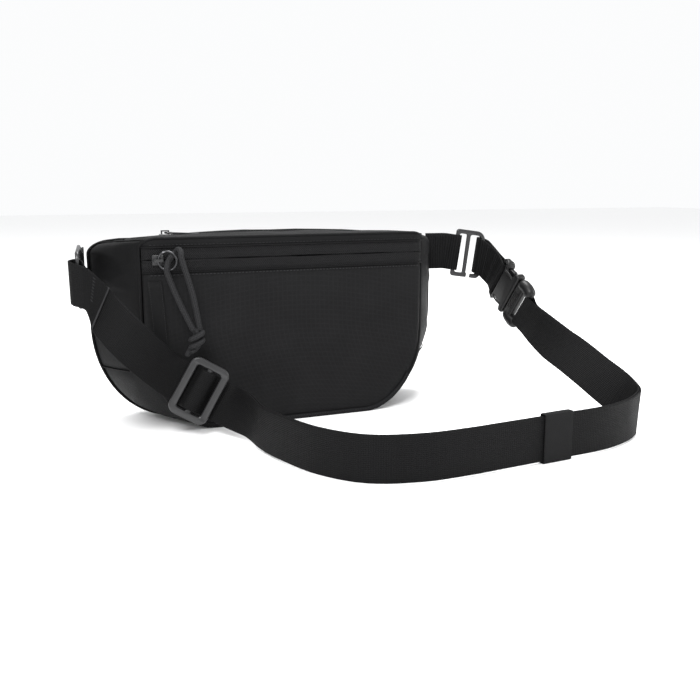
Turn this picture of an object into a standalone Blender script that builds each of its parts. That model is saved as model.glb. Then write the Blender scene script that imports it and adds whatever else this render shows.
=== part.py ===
"""Waist pack: a padded pouch on a 38 mm webbing belt with hooks, a tri-glide and a side-release buckle.

Metres, +Z up. The pack stands on its flat bottom and the belt stands on its lower edge in front of it.
The wearer's side faces -Y. The origin is the centre of the pack's bottom, on the ground.
"""
import math

import bmesh
import bpy
from mathutils import Matrix, Vector

# ---- Pouch ----
PANEL_HALF = 0.139          # half width of the rear panel
PANEL_FLAT = 0.130          # half width of its flat middle
PANEL_Y = -0.046            # outer face of the flat middle
PANEL_EDGE_BACK = 0.008     # how far its side edges curve back
PANEL_TOP = 0.176
PANEL_FOOT = (0.062, 0.080)     # lower corner radii, across and up
PANEL_SHOULDER = (0.014, 0.010)
POUCH_HALF = 0.177          # half width at the side seam
POUCH_TOP = 0.1795
POUCH_FOOT = (0.074, 0.092)
POUCH_SHOULDER = (0.018, 0.012)
CROWN = 0.0105              # how far the top falls away towards the sides
CROWN_FROM = 0.120          # height where that begins
SEAM_Y = 0.0185             # plane of the seam between gusset and front shell
SHELL_DEPTH = 0.032         # how far the front shell bulges beyond that seam
CLOTH = 0.0020              # thickness of the pouch cloth
SEAM_GAP = 0.0007           # clearance between neighbouring sewn pieces
WING_BULGE = 0.004

# ---- Slide fasteners ----
ZIP_Z = 0.1570              # height of the rear fastener's centre line
ZIP_SLOT = 0.0022           # gap between its two tapes
TAPE_REACH = 0.0112         # centre line to the tape's outer edge
TAPE = 0.0010
COIL = (0.0022, 0.0017)     # coil width and height
ZIP_LEFT = -0.1245          # rear slider when closed
ZIP_END = 0.1285            # half length of the rear tapes
MAIN_Y = 0.0060             # centre line of the top fastener
MAIN_HALF = 0.098           # half length of its opening part
MAIN_END = 0.1148           # half length with the sewn ends
MAIN_PARK = 0.1075          # slider position at either sewn end
MAIN_SINK = 0.0048          # how far the top fastener lies below the pouch's top edge
SLIDER = (0.0100, 0.0092)   # slider plate, along and across
SLIDER_PLATE = 0.0014
SLIDER_CLEAR = 0.0006
POST = (0.0030, 0.0012)
BRIDGE = (0.0076, 0.0024, 0.0038)   # length, width, height
BRIDGE_BAR = 0.0011
BITE = 0.0002               # how far joined pieces run into each other
RING_R = 0.0082
RING_WIRE = 0.0009
RING_TILT = 28.0            # degrees the ring stands off the panel
PULL_TAB = (0.0250, 0.0056, 0.0014)
PULL_EYE = (0.0036, 0.0008)     # ring radius and wire radius
PULL_LEAN = 3.0             # degrees the top pull tips down from level
CORD_D = 0.0052
KNOT = (0.0068, 0.0058, 0.0092)     # half sizes
PAD_Y = -0.0350             # foam pad between the rear pocket and the main compartment
PAD_HALF = 0.1330
PAD_FROM = 0.0060
PAD_HIGH = 0.1600
PAD_THICK = 0.0030
KNOT_AT = (-0.0965, -0.0650, 0.0870)
TAG = (0.0125, 0.0009, 0.0600)
TAG_AT = (-0.1265, 0.1085)  # middle of the tag, across and up
TAG_STAND = 0.0022          # how far it stands off the tapes' plane

# ---- Webbing and hardware ----
WEB = 0.038
WEB_T = 0.0016
WEB_GAP = 0.0004            # between two laid together
WEB_CLEAR = 0.0006          # webbing to metal or plastic
PLATE = 0.0030              # hook thickness
HOOK = (0.0335, WEB + 0.0130)   # along, across
HOOK_RAIL = 0.0045
HOOK_SLOT = 0.0085
HOOK_BAR = 0.0045
HOOK_MOUTH = 0.0110
HOOK_GATE = 0.0034
HOOK_CORNERS = (0.010, 0.003, 0.003, 0.010)
SLOT_SPARE = 0.0036         # slot length beyond the webbing width
HOOK_DROOP = 8.0            # degrees the hooks hang below level
TAB_OUT = 0.0260            # seam to the hook's first rail
TAB_RIGHT_AT = (POUCH_HALF + 0.0035, 0.0160, 0.1520)
TAB_RIGHT_TURN = -13.0      # degrees about +Z from +X
TAB_LEFT_AT = (-POUCH_HALF - 0.0060, 0.0110, 0.1470)
TAB_LEFT_TURN = -99.0
GLIDE_AT = (-0.0960, -0.0640, 0.0410)
GLIDE_ALONG = (0.83, -0.25, -0.50)
GLIDE_UP = (0.32, 0.06, 0.94)
GLIDE_BAR = 0.0045
GLIDE_SLOT = 0.0098
GLIDE_RAIL = 0.0052
GLIDE_T = 0.0030
BUCKLE_AT = (POUCH_HALF + 0.0660, -0.0480, 0.1075)   # mouth of the female half
BUCKLE_ALONG = (0.079, -0.791, -0.607)
BUCKLE_UP = (0.04, -0.61, 0.79)
BUCKLE_W = WEB + 0.0100
BUCKLE_T = 0.0106
FEMALE_LONG = 0.0330
MALE_LONG = 0.0240
CAVITY = (0.0230, WEB + 0.0024, 0.0062)     # deep, across, thick
WINDOW = (0.0130, WEB / 2 - 0.0025, 0.0142)     # side window: long, inner side, and its middle from the mouth
WEB_SLOT = (0.0045, 0.0070)             # female, male
BAR = 0.0045                # either half's webbing bar, along
BAR_THICK = 0.0046
MALE_T = 0.0094
MALE_START = 0.0005         # gap between the two halves
PRONG = (0.0200, 0.0048, 0.0048)
PRONG_AT = WEB / 2 - 0.0018     # centre of each prong from the middle
BARB = (0.0092, 0.0044, 0.0031)         # long, across, and its centre outside the prong's
KEEPER_LONG = 0.0290
KEEPER_WALL = 0.0010
KEEPER_CLEAR = 0.0008
JOIN_GAP = 0.0006

GROUND_LIFT = KEEPER_WALL + KEEPER_CLEAR
BELT_Z = GROUND_LIFT + WEB / 2
STRAIGHT_FROM = (0.105, -0.2545)
STRAIGHT_TO = (0.205, -0.2455)

COLOURS = {
    "ripstop": (0.060, 0.060, 0.064, 0.62, 0.0),
    "cloth": (0.045, 0.045, 0.049, 0.70, 0.0),
    "foam": (0.050, 0.050, 0.052, 0.90, 0.0),
    "webbing": (0.050, 0.050, 0.054, 0.60, 0.0),
    "band": (0.080, 0.080, 0.084, 0.55, 0.0),
    "tape": (0.055, 0.055, 0.058, 0.60, 0.0),
    "coil": (0.030, 0.030, 0.032, 0.40, 0.0),
    "metal": (0.120, 0.120, 0.125, 0.30, 1.0),
    "plastic": (0.035, 0.035, 0.038, 0.38, 0.0),
    "cord": (0.070, 0.070, 0.074, 0.70, 0.0),
}

for old in list(bpy.data.objects):
    bpy.data.objects.remove(old, do_unlink=True)
parts = bpy.data.collections.new("waist_pack")
cutters = bpy.data.collections.new("cutters")
for group in (parts, cutters):
    bpy.context.scene.collection.children.link(group)


def finish(obj, look, group=parts):
    """Give a piece its own material and its place in the collection."""
    group.objects.link(obj)
    if group is cutters:
        obj.hide_render = True
        obj.display_type = "WIRE"
        return obj
    red, green, blue, rough, metal = COLOURS[look]
    mat = bpy.data.materials.new(obj.name + "_" + look)
    mat.use_nodes = True
    shader = mat.node_tree.nodes["Principled BSDF"]
    shader.inputs["Base Color"].default_value = (red, green, blue, 1.0)
    shader.inputs["Roughness"].default_value = rough
    shader.inputs["Metallic"].default_value = metal
    obj.data.materials.append(mat)
    return obj


def body(name, points, faces, look, origin=(0, 0, 0), group=parts):
    """A closed mesh from points in world metres, with its origin where it turns or slides."""
    start = Vector(origin)
    mesh = bpy.data.meshes.new(name)
    mesh.from_pydata([Vector(p) - start for p in points], [], faces)
    shape = bmesh.new()
    shape.from_mesh(mesh)
    bmesh.ops.recalc_face_normals(shape, faces=shape.faces)
    shape.to_mesh(mesh)
    shape.free()
    obj = bpy.data.objects.new(name, mesh)
    obj.location = start
    return finish(obj, look, group)


def grid_slab(name, surface, across, up, thick, look, origin=(0, 0, 0)):
    """A cloth panel: surface(u, v) is its outer face, and it is thick metres deep on the far side of that."""
    step = 1e-4
    outer, inner = [], []
    for j in range(up + 1):
        for i in range(across + 1):
            u, v = i / across, j / up
            p = surface(u, v)
            du = surface(min(u + step, 1), v) - surface(max(u - step, 0), v)
            dv = surface(u, min(v + step, 1)) - surface(u, max(v - step, 0))
            outer.append(p)
            inner.append(p - du.cross(dv).normalized() * thick)
    wide = across + 1
    count = len(outer)
    faces = []
    for j in range(up):
        for i in range(across):
            a, b, c, d = j * wide + i, j * wide + i + 1, (j + 1) * wide + i + 1, (j + 1) * wide + i
            faces.append((a, b, c, d))
            faces.append((a + count, d + count, c + count, b + count))
    for i in range(across):
        low, high = i, up * wide + i
        faces.append((low, low + count, low + count + 1, low + 1))
        faces.append((high, high + 1, high + count + 1, high + count))
    for j in range(up):
        left, right = j * wide, j * wide + across
        faces.append((left, left + wide, left + wide + count, left + count))
        faces.append((right, right + count, right + wide + count, right + wide))
    return body(name, outer + inner, faces, look, origin)


def box(name, size, at, look, frame=None, edge=0.0, group=parts, edge_steps=2):
    """A box of this size centred at a point of a frame, with its edges rounded."""
    shape = bmesh.new()
    bmesh.ops.create_cube(shape, size=1.0, matrix=Matrix.Diagonal((*size, 1.0)))
    mesh = bpy.data.meshes.new(name)
    shape.to_mesh(mesh)
    shape.free()
    obj = bpy.data.objects.new(name, mesh)
    obj.matrix_world = (frame or Matrix.Identity(4)) @ Matrix.Translation(at)
    finish(obj, look, group)
    if edge:
        rounding = obj.modifiers.new("rounding", "BEVEL")
        rounding.width = edge
        rounding.segments = edge_steps
    return obj


def cut(obj, size, at, frame, edge=0.0):
    """Take a box out of a piece."""
    tool = box(obj.name + "_cut", size, at, "", frame, edge, cutters)
    hole = obj.modifiers.new("hole", "BOOLEAN")
    hole.operation = "DIFFERENCE"
    hole.solver = "EXACT"
    hole.object = tool
    return tool


def join(obj, size, at, frame, edge=0.0):
    """Grow a piece by a box that runs into it."""
    tool = box(obj.name + "_join", size, at, "", frame, edge, cutters)
    more = obj.modifiers.new("more", "BOOLEAN")
    more.operation = "UNION"
    more.solver = "EXACT"
    more.object = tool


def turn_about(obj, place):
    """Put a piece's origin on the axis it turns about."""
    shift = obj.matrix_basis.inverted() @ Vector(place)
    obj.data.transform(Matrix.Translation(-shift))
    obj.matrix_basis = obj.matrix_basis @ Matrix.Translation(shift)


def axes(origin, along, up):
    """A frame with x along, y nearly up, and z square to both."""
    x = Vector(along).normalized()
    y = Vector(up)
    y = (y - x * y.dot(x)).normalized()
    z = x.cross(y)
    frame = Matrix((x, y, z)).transposed().to_4x4()
    frame.translation = Vector(origin)
    return frame


upward = Vector((0, 0, 1))


# ---- Webbing guides: a centre line that also carries the webbing's width direction ----
def guide(stations, fine=10, square=True):
    """Sample a smooth line through (point, width direction) stations, with the distance run.

    square keeps the webbing's width at right angles to the line; without it the webbing shears."""
    places = [Vector(p) for p, _ in stations]
    ups = [Vector(w).normalized() for _, w in stations]
    line = []
    for k in range(len(places) - 1):
        before, after = max(k - 1, 0), min(k + 2, len(places) - 1)
        p0, p1, p2, p3 = places[before], places[k], places[k + 1], places[after]
        for i in range(fine):
            t = i / fine
            lead = (p2 - p0) * 0.5 if before < k else p2 - p1
            tail = (p3 - p1) * 0.5 if after > k + 1 else p2 - p1
            span = (p2 - p1).length
            lead = lead.normalized() * span
            tail = tail.normalized() * span
            h1 = 2 * t**3 - 3 * t**2 + 1
            h2 = t**3 - 2 * t**2 + t
            h3 = 3 * t**2 - 2 * t**3
            h4 = t**3 - t**2
            line.append((p1 * h1 + lead * h2 + p2 * h3 + tail * h4, ups[k].lerp(ups[k + 1], t)))
    line.append((places[-1], ups[-1]))
    run = [0.0]
    for a, b in zip(line, line[1:]):
        run.append(run[-1] + (b[0] - a[0]).length)
    return line, run, square


def on_guide(way, s):
    """The frame (point, along, width, normal) at distance s; straight on past either end."""
    line, run, square = way
    k = 0
    while k < len(run) - 2 and run[k + 1] < s:
        k += 1
    t = (s - run[k]) / (run[k + 1] - run[k])
    a, b = max(k - 1, 0), min(k + 2, len(line) - 1)
    here = line[k + 1][0] - line[k][0]
    ahead = line[b][0] - line[k + 1][0]
    behind = line[k][0] - line[a][0]
    bend = min(max(t, 0.0), 1.0)
    start = (behind + here) if a < k else here
    end = (here + ahead) if b > k + 1 else here
    along = (start.normalized().lerp(end.normalized(), bend)).normalized()
    point = line[k][0] + here * t
    width = line[k][1].lerp(line[k + 1][1], bend)
    if square:
        width = width - along * width.dot(along)
    width = width.normalized()
    return point, along, width, along.cross(width).normalized()


def nearest_run(way, place):
    """The distance along a guide that comes closest to a point."""
    line, run, _ = way
    gaps = [(p - Vector(place)).length for p, _ in line]
    return run[gaps.index(min(gaps))]


def ribbon(name, way, steps, look, origin=(0, 0, 0), closed=False, wide=WEB, thick=WEB_T):
    """Webbing that follows (distance, height) steps over a guide."""
    count = len(steps)
    centres = []
    for s, h in steps:
        point, _, width, normal = on_guide(way, s)
        centres.append((point + normal * h, width))
    points, faces = [], []
    for k in range(count):
        before = centres[(k - 1) % count][0] if closed or k else centres[k][0]
        after = centres[(k + 1) % count][0] if closed or k < count - 1 else centres[k][0]
        along = (after - before).normalized()
        point, width = centres[k]
        if way[2]:
            width = (width - along * width.dot(along)).normalized()
        normal = along.cross(width).normalized()
        for side, face in ((-1, -1), (1, -1), (1, 1), (-1, 1)):
            points.append(point + width * side * wide / 2 + normal * face * thick / 2)
    rings = count if closed else count - 1
    for k in range(rings):
        a, b = 4 * k, 4 * ((k + 1) % count)
        for c in range(4):
            d = (c + 1) % 4
            faces.append((a + c, a + d, b + d, b + c))
    if not closed:
        faces.append((0, 1, 2, 3))
        last = 4 * (count - 1)
        faces.append((last + 3, last + 2, last + 1, last))
    return body(name, points, faces, look, origin)


def arc(centre, radius, start, end, steps, square=0.62):
    """(distance, height) points round a squarish bar, angles in degrees from the guide's direction."""
    made = []
    for i in range(steps + 1):
        a = math.radians(start + (end - start) * i / steps)
        c, s = math.cos(a), math.sin(a)
        along = math.copysign(abs(c) ** square, c) if abs(c) > 1e-9 else 0.0
        out = math.copysign(abs(s) ** square, s) if abs(s) > 1e-9 else 0.0
        made.append((centre[0] + radius[0] * along, centre[1] + radius[1] * out))
    return made


# ---- Pouch outlines ----
def outline(t, half, foot, shoulder, top):
    """The point (x, z) at t in 0..8 round a rounded outline standing on the ground."""
    part, f = math.floor(t) % 8, t - math.floor(t)
    a = f * math.pi / 2
    fx, fz = foot
    sx, sz = shoulder
    if part == 0:
        return (-(half - fx) + 2 * (half - fx) * f, 0.0)
    if part == 1:
        return (half - fx + fx * math.sin(a), fz - fz * math.cos(a))
    if part == 2:
        return (half, fz + (top - sz - fz) * f)
    if part == 3:
        return (half - sx + sx * math.cos(a), top - sz + sz * math.sin(a))
    if part == 4:
        return ((half - sx) * (1 - 2 * f), top)
    if part == 5:
        return (-(half - sx) - sx * math.sin(a), top - sz + sz * math.cos(a))
    if part == 6:
        return (-half, top - sz - (top - sz - fz) * f)
    return (-half + fx - fx * math.cos(a), fz - fz * math.sin(a))


# Where the band meets the top fastener, as a share of the way from the panel to the side seam.
TOP_EDGE = (MAIN_Y - TAPE_REACH - SEAM_GAP - PANEL_Y) / (SEAM_Y - PANEL_Y)
DIP_FROM = TOP_EDGE / 2


def panel_y(x):
    """How far out the rear panel stands at this width."""
    past = max(0.0, abs(x) - PANEL_FLAT) / (PANEL_HALF - PANEL_FLAT)
    return PANEL_Y + PANEL_EDGE_BACK * min(past, 1.0) ** 2


def seam(t):
    """The pouch's outline at its side seam, crowned along the top."""
    x, z = outline(t, POUCH_HALF, POUCH_FOOT, POUCH_SHOULDER, POUCH_TOP)
    high = max(0.0, z - CROWN_FROM) / (POUCH_TOP - CROWN_FROM)
    return x, z - CROWN * high * (x / POUCH_HALF) ** 2


def gusset(t, s):
    """The band between the rear panel's outline (s = 0) and the side seam (s = 1)."""
    px, pz = outline(t, PANEL_HALF, PANEL_FOOT, PANEL_SHOULDER, PANEL_TOP)
    ox, oz = seam(t)
    y0 = panel_y(px)
    swell = WING_BULGE * math.sin(math.pi * s)
    side = abs(px) / PANEL_HALF
    x = px + (ox - px) * s + math.copysign(swell * side**3, px)
    z = pz + (oz - pz) * s
    if pz > POUCH_TOP / 2 and side < 0.9:
        dip = min(max((s - DIP_FROM) / (TOP_EDGE - DIP_FROM), 0.0), 1.0)
        z += swell / 2
        z -= max(0.0, z - POUCH_TOP + MAIN_SINK) * dip * dip * (3 - 2 * dip)
    return Vector((x, y0 + (SEAM_Y - y0) * s, z))


def band_piece(name, t0, t1, s0, s1, across, up, look):
    """A piece of the gusset band between two places round the outline."""
    return grid_slab(name, lambda u, v: gusset(t0 + (t1 - t0) * u, s0 + (s1 - s0) * v), across, up, -CLOTH, look)


def loft_slab(name, low_z, high_z, look, across=24, up=8, thick=CLOTH):
    """The rear panel between two heights."""

    def edge(z):
        if z < PANEL_FOOT[1]:
            lift = 1 - z / PANEL_FOOT[1]
            return PANEL_HALF - PANEL_FOOT[0] * (1 - math.sqrt(max(0.0, 1 - lift * lift)))
        if z > PANEL_TOP - PANEL_SHOULDER[1]:
            rise = (z - PANEL_TOP + PANEL_SHOULDER[1]) / PANEL_SHOULDER[1]
            return PANEL_HALF - PANEL_SHOULDER[0] * (1 - math.sqrt(max(0.0, 1 - rise * rise)))
        return PANEL_HALF

    def surface(u, v):
        z = low_z + (high_z - low_z) * v ** (1.5 if low_z < PANEL_FOOT[1] else 1.0)
        half = edge(z) - SEAM_GAP
        x = half * math.sin((2 * u - 1) * math.pi / 2)
        return Vector((x, panel_y(x), z))

    return grid_slab(name, surface, across, up, thick, look)


rear_tape_low = ZIP_Z - TAPE_REACH
rear_tape_high = ZIP_Z + TAPE_REACH
panel_bottom = 0.0027
loft_slab("back_panel", panel_bottom, rear_tape_low - SEAM_GAP, "ripstop", 24, 12)
loft_slab("yoke_strip", rear_tape_high + SEAM_GAP, PANEL_TOP - CLOTH - 4 * SEAM_GAP, "cloth", 24, 2)

# Sewn edges in the outline's own measure: 8 stretches, the first along the ground, and 9 - t is t mirrored.
SEWN = 0.008                # clearance in that measure
EDGE = 0.03
SEAM_END = 0.985
FOOT_SEAM, SHOULDER_SEAM, TOP_END = 1.72, 3.75, 4.11


def band_pair(name, t0, t1, s0, s1, across, up, look):
    """The same piece of band on the right and, mirrored, on the left."""
    band_piece(name + "_right", t0, t1, s0, s1, across, up, look)
    band_piece(name + "_left", 9 - t1, 9 - t0, s0, s1, across, up, look)


band_piece("bottom_gusset", 1 - FOOT_SEAM + SEWN, FOOT_SEAM - SEWN, EDGE, SEAM_END, 34, 6, "cloth")
band_pair("wing", FOOT_SEAM + SEWN, SHOULDER_SEAM - SEWN, EDGE, SEAM_END, 14, 6, "cloth")
band_piece("top_yoke", SHOULDER_SEAM + SEWN, 9 - SHOULDER_SEAM - SEWN, EDGE, TOP_EDGE, 18, 5, "cloth")
band_pair("top_corner", SHOULDER_SEAM + SEWN, TOP_END, TOP_EDGE + EDGE, SEAM_END, 4, 3, "cloth")

def shell_point(t, a):
    """The front shell's outer face, from its seam (a = 0) to its middle (a = 1)."""
    x, z = seam(t)
    middle = POUCH_FOOT[1]
    turn = a * math.pi / 2
    wide = math.cos(turn) ** 0.42
    deep = math.sin(turn) ** 0.95
    return Vector((x * wide, SEAM_Y + SEAM_GAP + SHELL_DEPTH * deep, middle + (z - middle) * wide))


def front_shell(name, around=56, rings=7):
    """A bowl: outer rings, a closed middle, and the same again one cloth thickness in."""
    points, faces = [], []
    steps = [0.0, 0.12, 0.30, 0.50, 0.68, 0.84, 0.95][:rings]
    for depth in (0.0, CLOTH):
        for a in steps:
            for k in range(around):
                p = shell_point(8 * k / around, a)
                middle = Vector((0, SEAM_Y, POUCH_FOOT[1]))
                inward = Vector((p.x, 0, p.z - middle.z))
                shrink = 1 - depth / max(inward.length, depth * 2) * math.cos(a * math.pi / 2)
                back = depth * math.sin(a * math.pi / 2) if depth else 0.0
                points.append(Vector((p.x * shrink, p.y - back, middle.z + (p.z - middle.z) * shrink)))
    half = around * len(steps)
    for skin in range(2):
        base = skin * half
        for r in range(len(steps) - 1):
            for k in range(around):
                n = (k + 1) % around
                faces.append((base + r * around + k, base + r * around + n,
                              base + (r + 1) * around + n, base + (r + 1) * around + k))
        last = base + (len(steps) - 1) * around
        faces.append(tuple(last + k for k in range(around)))
    for k in range(around):
        n = (k + 1) % around
        faces.append((k, n, half + n, half + k))
    return body(name, points, faces, "cloth", (0, SEAM_Y, 0))


front_shell("front_shell")

# ---- Rear fastener ----
tape_wide = TAPE_REACH - ZIP_SLOT / 2
rear_face = PANEL_Y + 0.0002
rear_frame = axes((0, rear_face, ZIP_Z), (1, 0, 0), (0, 0, 1))
top_frame = axes((0, MAIN_Y, POUCH_TOP - MAIN_SINK), (1, 0, 0), (0, 1, 0))


def fastener(name, frame, low, high, half, coil_half):
    """Two tapes lying in the frame's xy plane, each with a coil behind its inner edge."""
    for side, sign in ((low, -1), (high, 1)):
        at = (0, sign * (ZIP_SLOT / 2 + tape_wide / 2), -TAPE / 2)
        box(f"{name}_tape_{side}", (2 * half, tape_wide, TAPE), at, "tape", frame)
        at = (0, sign * (ZIP_SLOT / 2 + 0.0002 + COIL[0] / 2), -TAPE - 0.0003 - COIL[1] / 2)
        box(f"{name}_coil_{side}", (2 * coil_half, *COIL), at, "coil", frame)


def slider(name, frame, x):
    """A slider: plates each side of the tapes, a post in the slot, and a bridge for the pull."""
    top = SLIDER_CLEAR + SLIDER_PLATE
    under = -TAPE - 0.0003 - COIL[1] - SLIDER_CLEAR
    at = (x, 0, SLIDER_CLEAR + SLIDER_PLATE / 2)
    made = box(name, (*SLIDER, SLIDER_PLATE), at, "metal", frame, SLIDER_PLATE / 3, parts, 1)
    high = SLIDER_CLEAR + 2 * BITE
    join(made, (POST[0], POST[1], high - under), (x, 0, (high + under) / 2), frame)
    join(made, (*SLIDER, SLIDER_PLATE), (x, 0, under - SLIDER_PLATE / 2 + BITE / 2), frame, SLIDER_PLATE / 4)
    long, wide, high = BRIDGE
    for sign in (-1, 1):
        foot = (x + sign * (long - BRIDGE_BAR) / 2, 0, top + high / 2 - BITE)
        join(made, (BRIDGE_BAR, wide, high), foot, frame)
    join(made, (long, wide, BRIDGE_BAR), (x, 0, top + high - BITE - BRIDGE_BAR / 2), frame)
    return frame @ Vector((x, 0, top + (high - BRIDGE_BAR) / 2))


def ring(name, centre, radius, wire, across, up, look, origin, around=32, sides=8):
    """A round wire ring in the plane of two directions."""
    normal = across.cross(up)
    points, faces = [], []
    for i in range(around):
        a = 2 * math.pi * i / around
        out = across * math.cos(a) + up * math.sin(a)
        for j in range(sides):
            b = 2 * math.pi * j / sides
            points.append(centre + out * (radius + wire * math.cos(b)) + normal * wire * math.sin(b))
    for i in range(around):
        for j in range(sides):
            n, m = (i + 1) % around, (j + 1) % sides
            faces.append((i * sides + j, i * sides + m, n * sides + m, n * sides + j))
    return body(name, points, faces, look, origin)


fastener("rear", rear_frame, "low", "high", ZIP_END, ZIP_END - 0.002)
rear_pivot = slider("rear_slider", rear_frame, ZIP_LEFT)
tilt = math.radians(RING_TILT)
ring_out = Vector((math.cos(tilt), -math.sin(tilt), 0))
ring_face = Vector((-math.sin(tilt), -math.cos(tilt), 0))
ring("pull_ring", rear_pivot + ring_out * RING_R, RING_R, RING_WIRE, ring_out, upward, "metal", rear_pivot)


def cord(name, route, diameter, look, origin):
    """A bevelled poly curve, turned into a closed mesh."""
    line = bpy.data.curves.new(name, "CURVE")
    line.dimensions = "3D"
    line.bevel_depth = diameter / 2
    line.bevel_resolution = 2
    line.use_fill_caps = True
    spline = line.splines.new("POLY")
    spline.points.add(len(route) - 1)
    for point, place in zip(spline.points, route):
        point.co = (*(place - Vector(origin)), 1.0)
    made = bpy.data.objects.new(name + "_line", line)
    bpy.context.scene.collection.objects.link(made)
    bpy.context.view_layer.update()
    mesh = bpy.data.meshes.new_from_object(made.evaluated_get(bpy.context.evaluated_depsgraph_get()))
    bpy.data.objects.remove(made, do_unlink=True)
    shape = bmesh.new()
    shape.from_mesh(mesh)
    bmesh.ops.remove_doubles(shape, verts=shape.verts, dist=1e-6)
    bmesh.ops.recalc_face_normals(shape, faces=shape.faces)
    shape.to_mesh(mesh)
    shape.free()
    obj = bpy.data.objects.new(name, mesh)
    obj.location = origin
    return finish(obj, look)


def smooth(points, fine):
    """A finer line through the points."""
    return [p for p, _ in guide([(p, upward) for p in points], fine)[0]]


knot = Vector(KNOT_AT)
# The loop passes in front of the ring's lower wire, through the ring, and round its upper right.
LOOP = [(0.0090, 0.0046, -0.0105), (0.0086, 0.0034, -0.0060), (0.0090, 0.0002, -0.0008), (0.0108, -0.0030, 0.0030),
        (0.0136, -0.0043, 0.0064), (0.0172, -0.0028, 0.0094), (0.0206, 0.0008, 0.0078), (0.0218, 0.0036, 0.0026)]
leg_apart = CORD_D / 2 + 0.0004
turns = [rear_pivot + ring_out * u + ring_face * n + upward * z for u, n, z in LOOP]
foot = knot + upward * (KNOT[2] + 0.0006)
left_leg = [foot - Vector((leg_apart, 0, 0)), foot.lerp(turns[0], 0.5) - Vector((leg_apart * 0.9, 0.0015, 0))]
right_leg = [foot.lerp(turns[-1], 0.5) + Vector((leg_apart * 0.9, -0.0015, 0)), foot + Vector((leg_apart, 0, 0))]
cord("pull_cord", smooth(left_leg + turns + right_leg, 3), CORD_D, "cord", rear_pivot)

bead = bmesh.new()
bmesh.ops.create_uvsphere(bead, u_segments=16, v_segments=10, radius=1.0, matrix=Matrix.Diagonal((*KNOT, 1.0)))
bead_mesh = bpy.data.meshes.new("cord_knot")
bead.to_mesh(bead_mesh)
bead.free()
bead_obj = bpy.data.objects.new("cord_knot", bead_mesh)
bead_obj.location = knot
turn_about(finish(bead_obj, "cord"), rear_pivot)

tag_frame = axes((TAG_AT[0], rear_face - TAG_STAND, TAG_AT[1]), (1, 0, 0), (-0.06, 0, 1))
box("tag", (TAG[0], TAG[2], TAG[1]), (0, 0, 0), "webbing", tag_frame, 0.0002, parts, 1)

# ---- Top fastener: its middle opens, and its ends stay sewn to the pouch ----
fastener("top", top_frame, "rear", "front", MAIN_HALF, MAIN_HALF)
END_LONG = MAIN_END - MAIN_HALF - SEAM_GAP
for side, sign in (("left", -1), ("right", 1)):
    middle = sign * (MAIN_HALF + SEAM_GAP + END_LONG / 2)
    made = box(f"top_end_{side}", (END_LONG, 2 * TAPE_REACH, TAPE), (middle, 0, -TAPE / 2), "tape", top_frame)
    slit = (END_LONG - 0.002, ZIP_SLOT, 4 * TAPE)
    cut(made, slit, (middle - sign * 0.002, 0, -TAPE / 2), top_frame)
top_pivot = slider("top_slider", top_frame, -MAIN_PARK)
lean = math.radians(-PULL_LEAN)
pull_out = Vector((math.cos(lean), 0, math.sin(lean)))
eye_at = top_pivot + pull_out * PULL_EYE[0]
pull = ring("top_pull", eye_at, *PULL_EYE, pull_out, Vector((0, 1, 0)), "metal", top_pivot, 24, 8)
pull_frame = axes(top_pivot, pull_out, (0, 1, 0))
join(pull, PULL_TAB, (2 * PULL_EYE[0] + PULL_TAB[0] / 2 - 2 * BITE, 0, 0), pull_frame, PULL_TAB[2] / 3)


# ---- Hooks, tabs and webbing ----
def plate(name, size, corner, thick, frame, look):
    """A flat plate in the frame's xy plane from x = 0, with its own radius at each corner."""
    long, high = size
    spots = [(long, high / 2, corner[0], 0), (0, high / 2, corner[1], 90),
             (0, -high / 2, corner[2], 180), (long, -high / 2, corner[3], 270)]
    rim = []
    for x, y, r, turn in spots:
        cx, cy = x - math.copysign(r, x - long / 2), y - math.copysign(r, y)
        for i in range(5):
            a = math.radians(turn + 90 * i / 4)
            rim.append((cx + r * math.cos(a), cy + r * math.sin(a)))
    count = len(rim)
    points = [Vector((x, y, z)) for z in (-thick / 2, thick / 2) for x, y in rim]
    faces = [tuple(range(count)), tuple(range(count, 2 * count))]
    for k in range(count):
        n = (k + 1) % count
        faces.append((k, n, count + n, count + k))
    mesh = bpy.data.meshes.new(name)
    mesh.from_pydata(points, [], faces)
    shape = bmesh.new()
    shape.from_mesh(mesh)
    bmesh.ops.recalc_face_normals(shape, faces=shape.faces)
    shape.to_mesh(mesh)
    shape.free()
    obj = bpy.data.objects.new(name, mesh)
    obj.matrix_world = frame
    rounding = obj.modifiers.new("rounding", "BEVEL")
    rounding.width = thick * 0.28
    rounding.segments = 2
    rounding.limit_method = "ANGLE"
    return finish(obj, look)


# Foam back pad between the rear pocket and the main compartment.
pad_frame = axes((-PAD_HALF, PAD_Y, PAD_FROM + PAD_HIGH / 2), (1, 0, 0), (0, 0, 1))
plate("back_pad", (2 * PAD_HALF, PAD_HIGH), (0.012, 0.012, 0.064, 0.064), PAD_THICK, pad_frame, "foam")

SLOT_HIGH = WEB + SLOT_SPARE
LOOP_IN = WEB_CLEAR + WEB_T / 2
SLACK = 0.0056              # centre-line radius of a loop that lets its hook rock
LAY = (WEB_T + WEB_GAP) / 2


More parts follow.
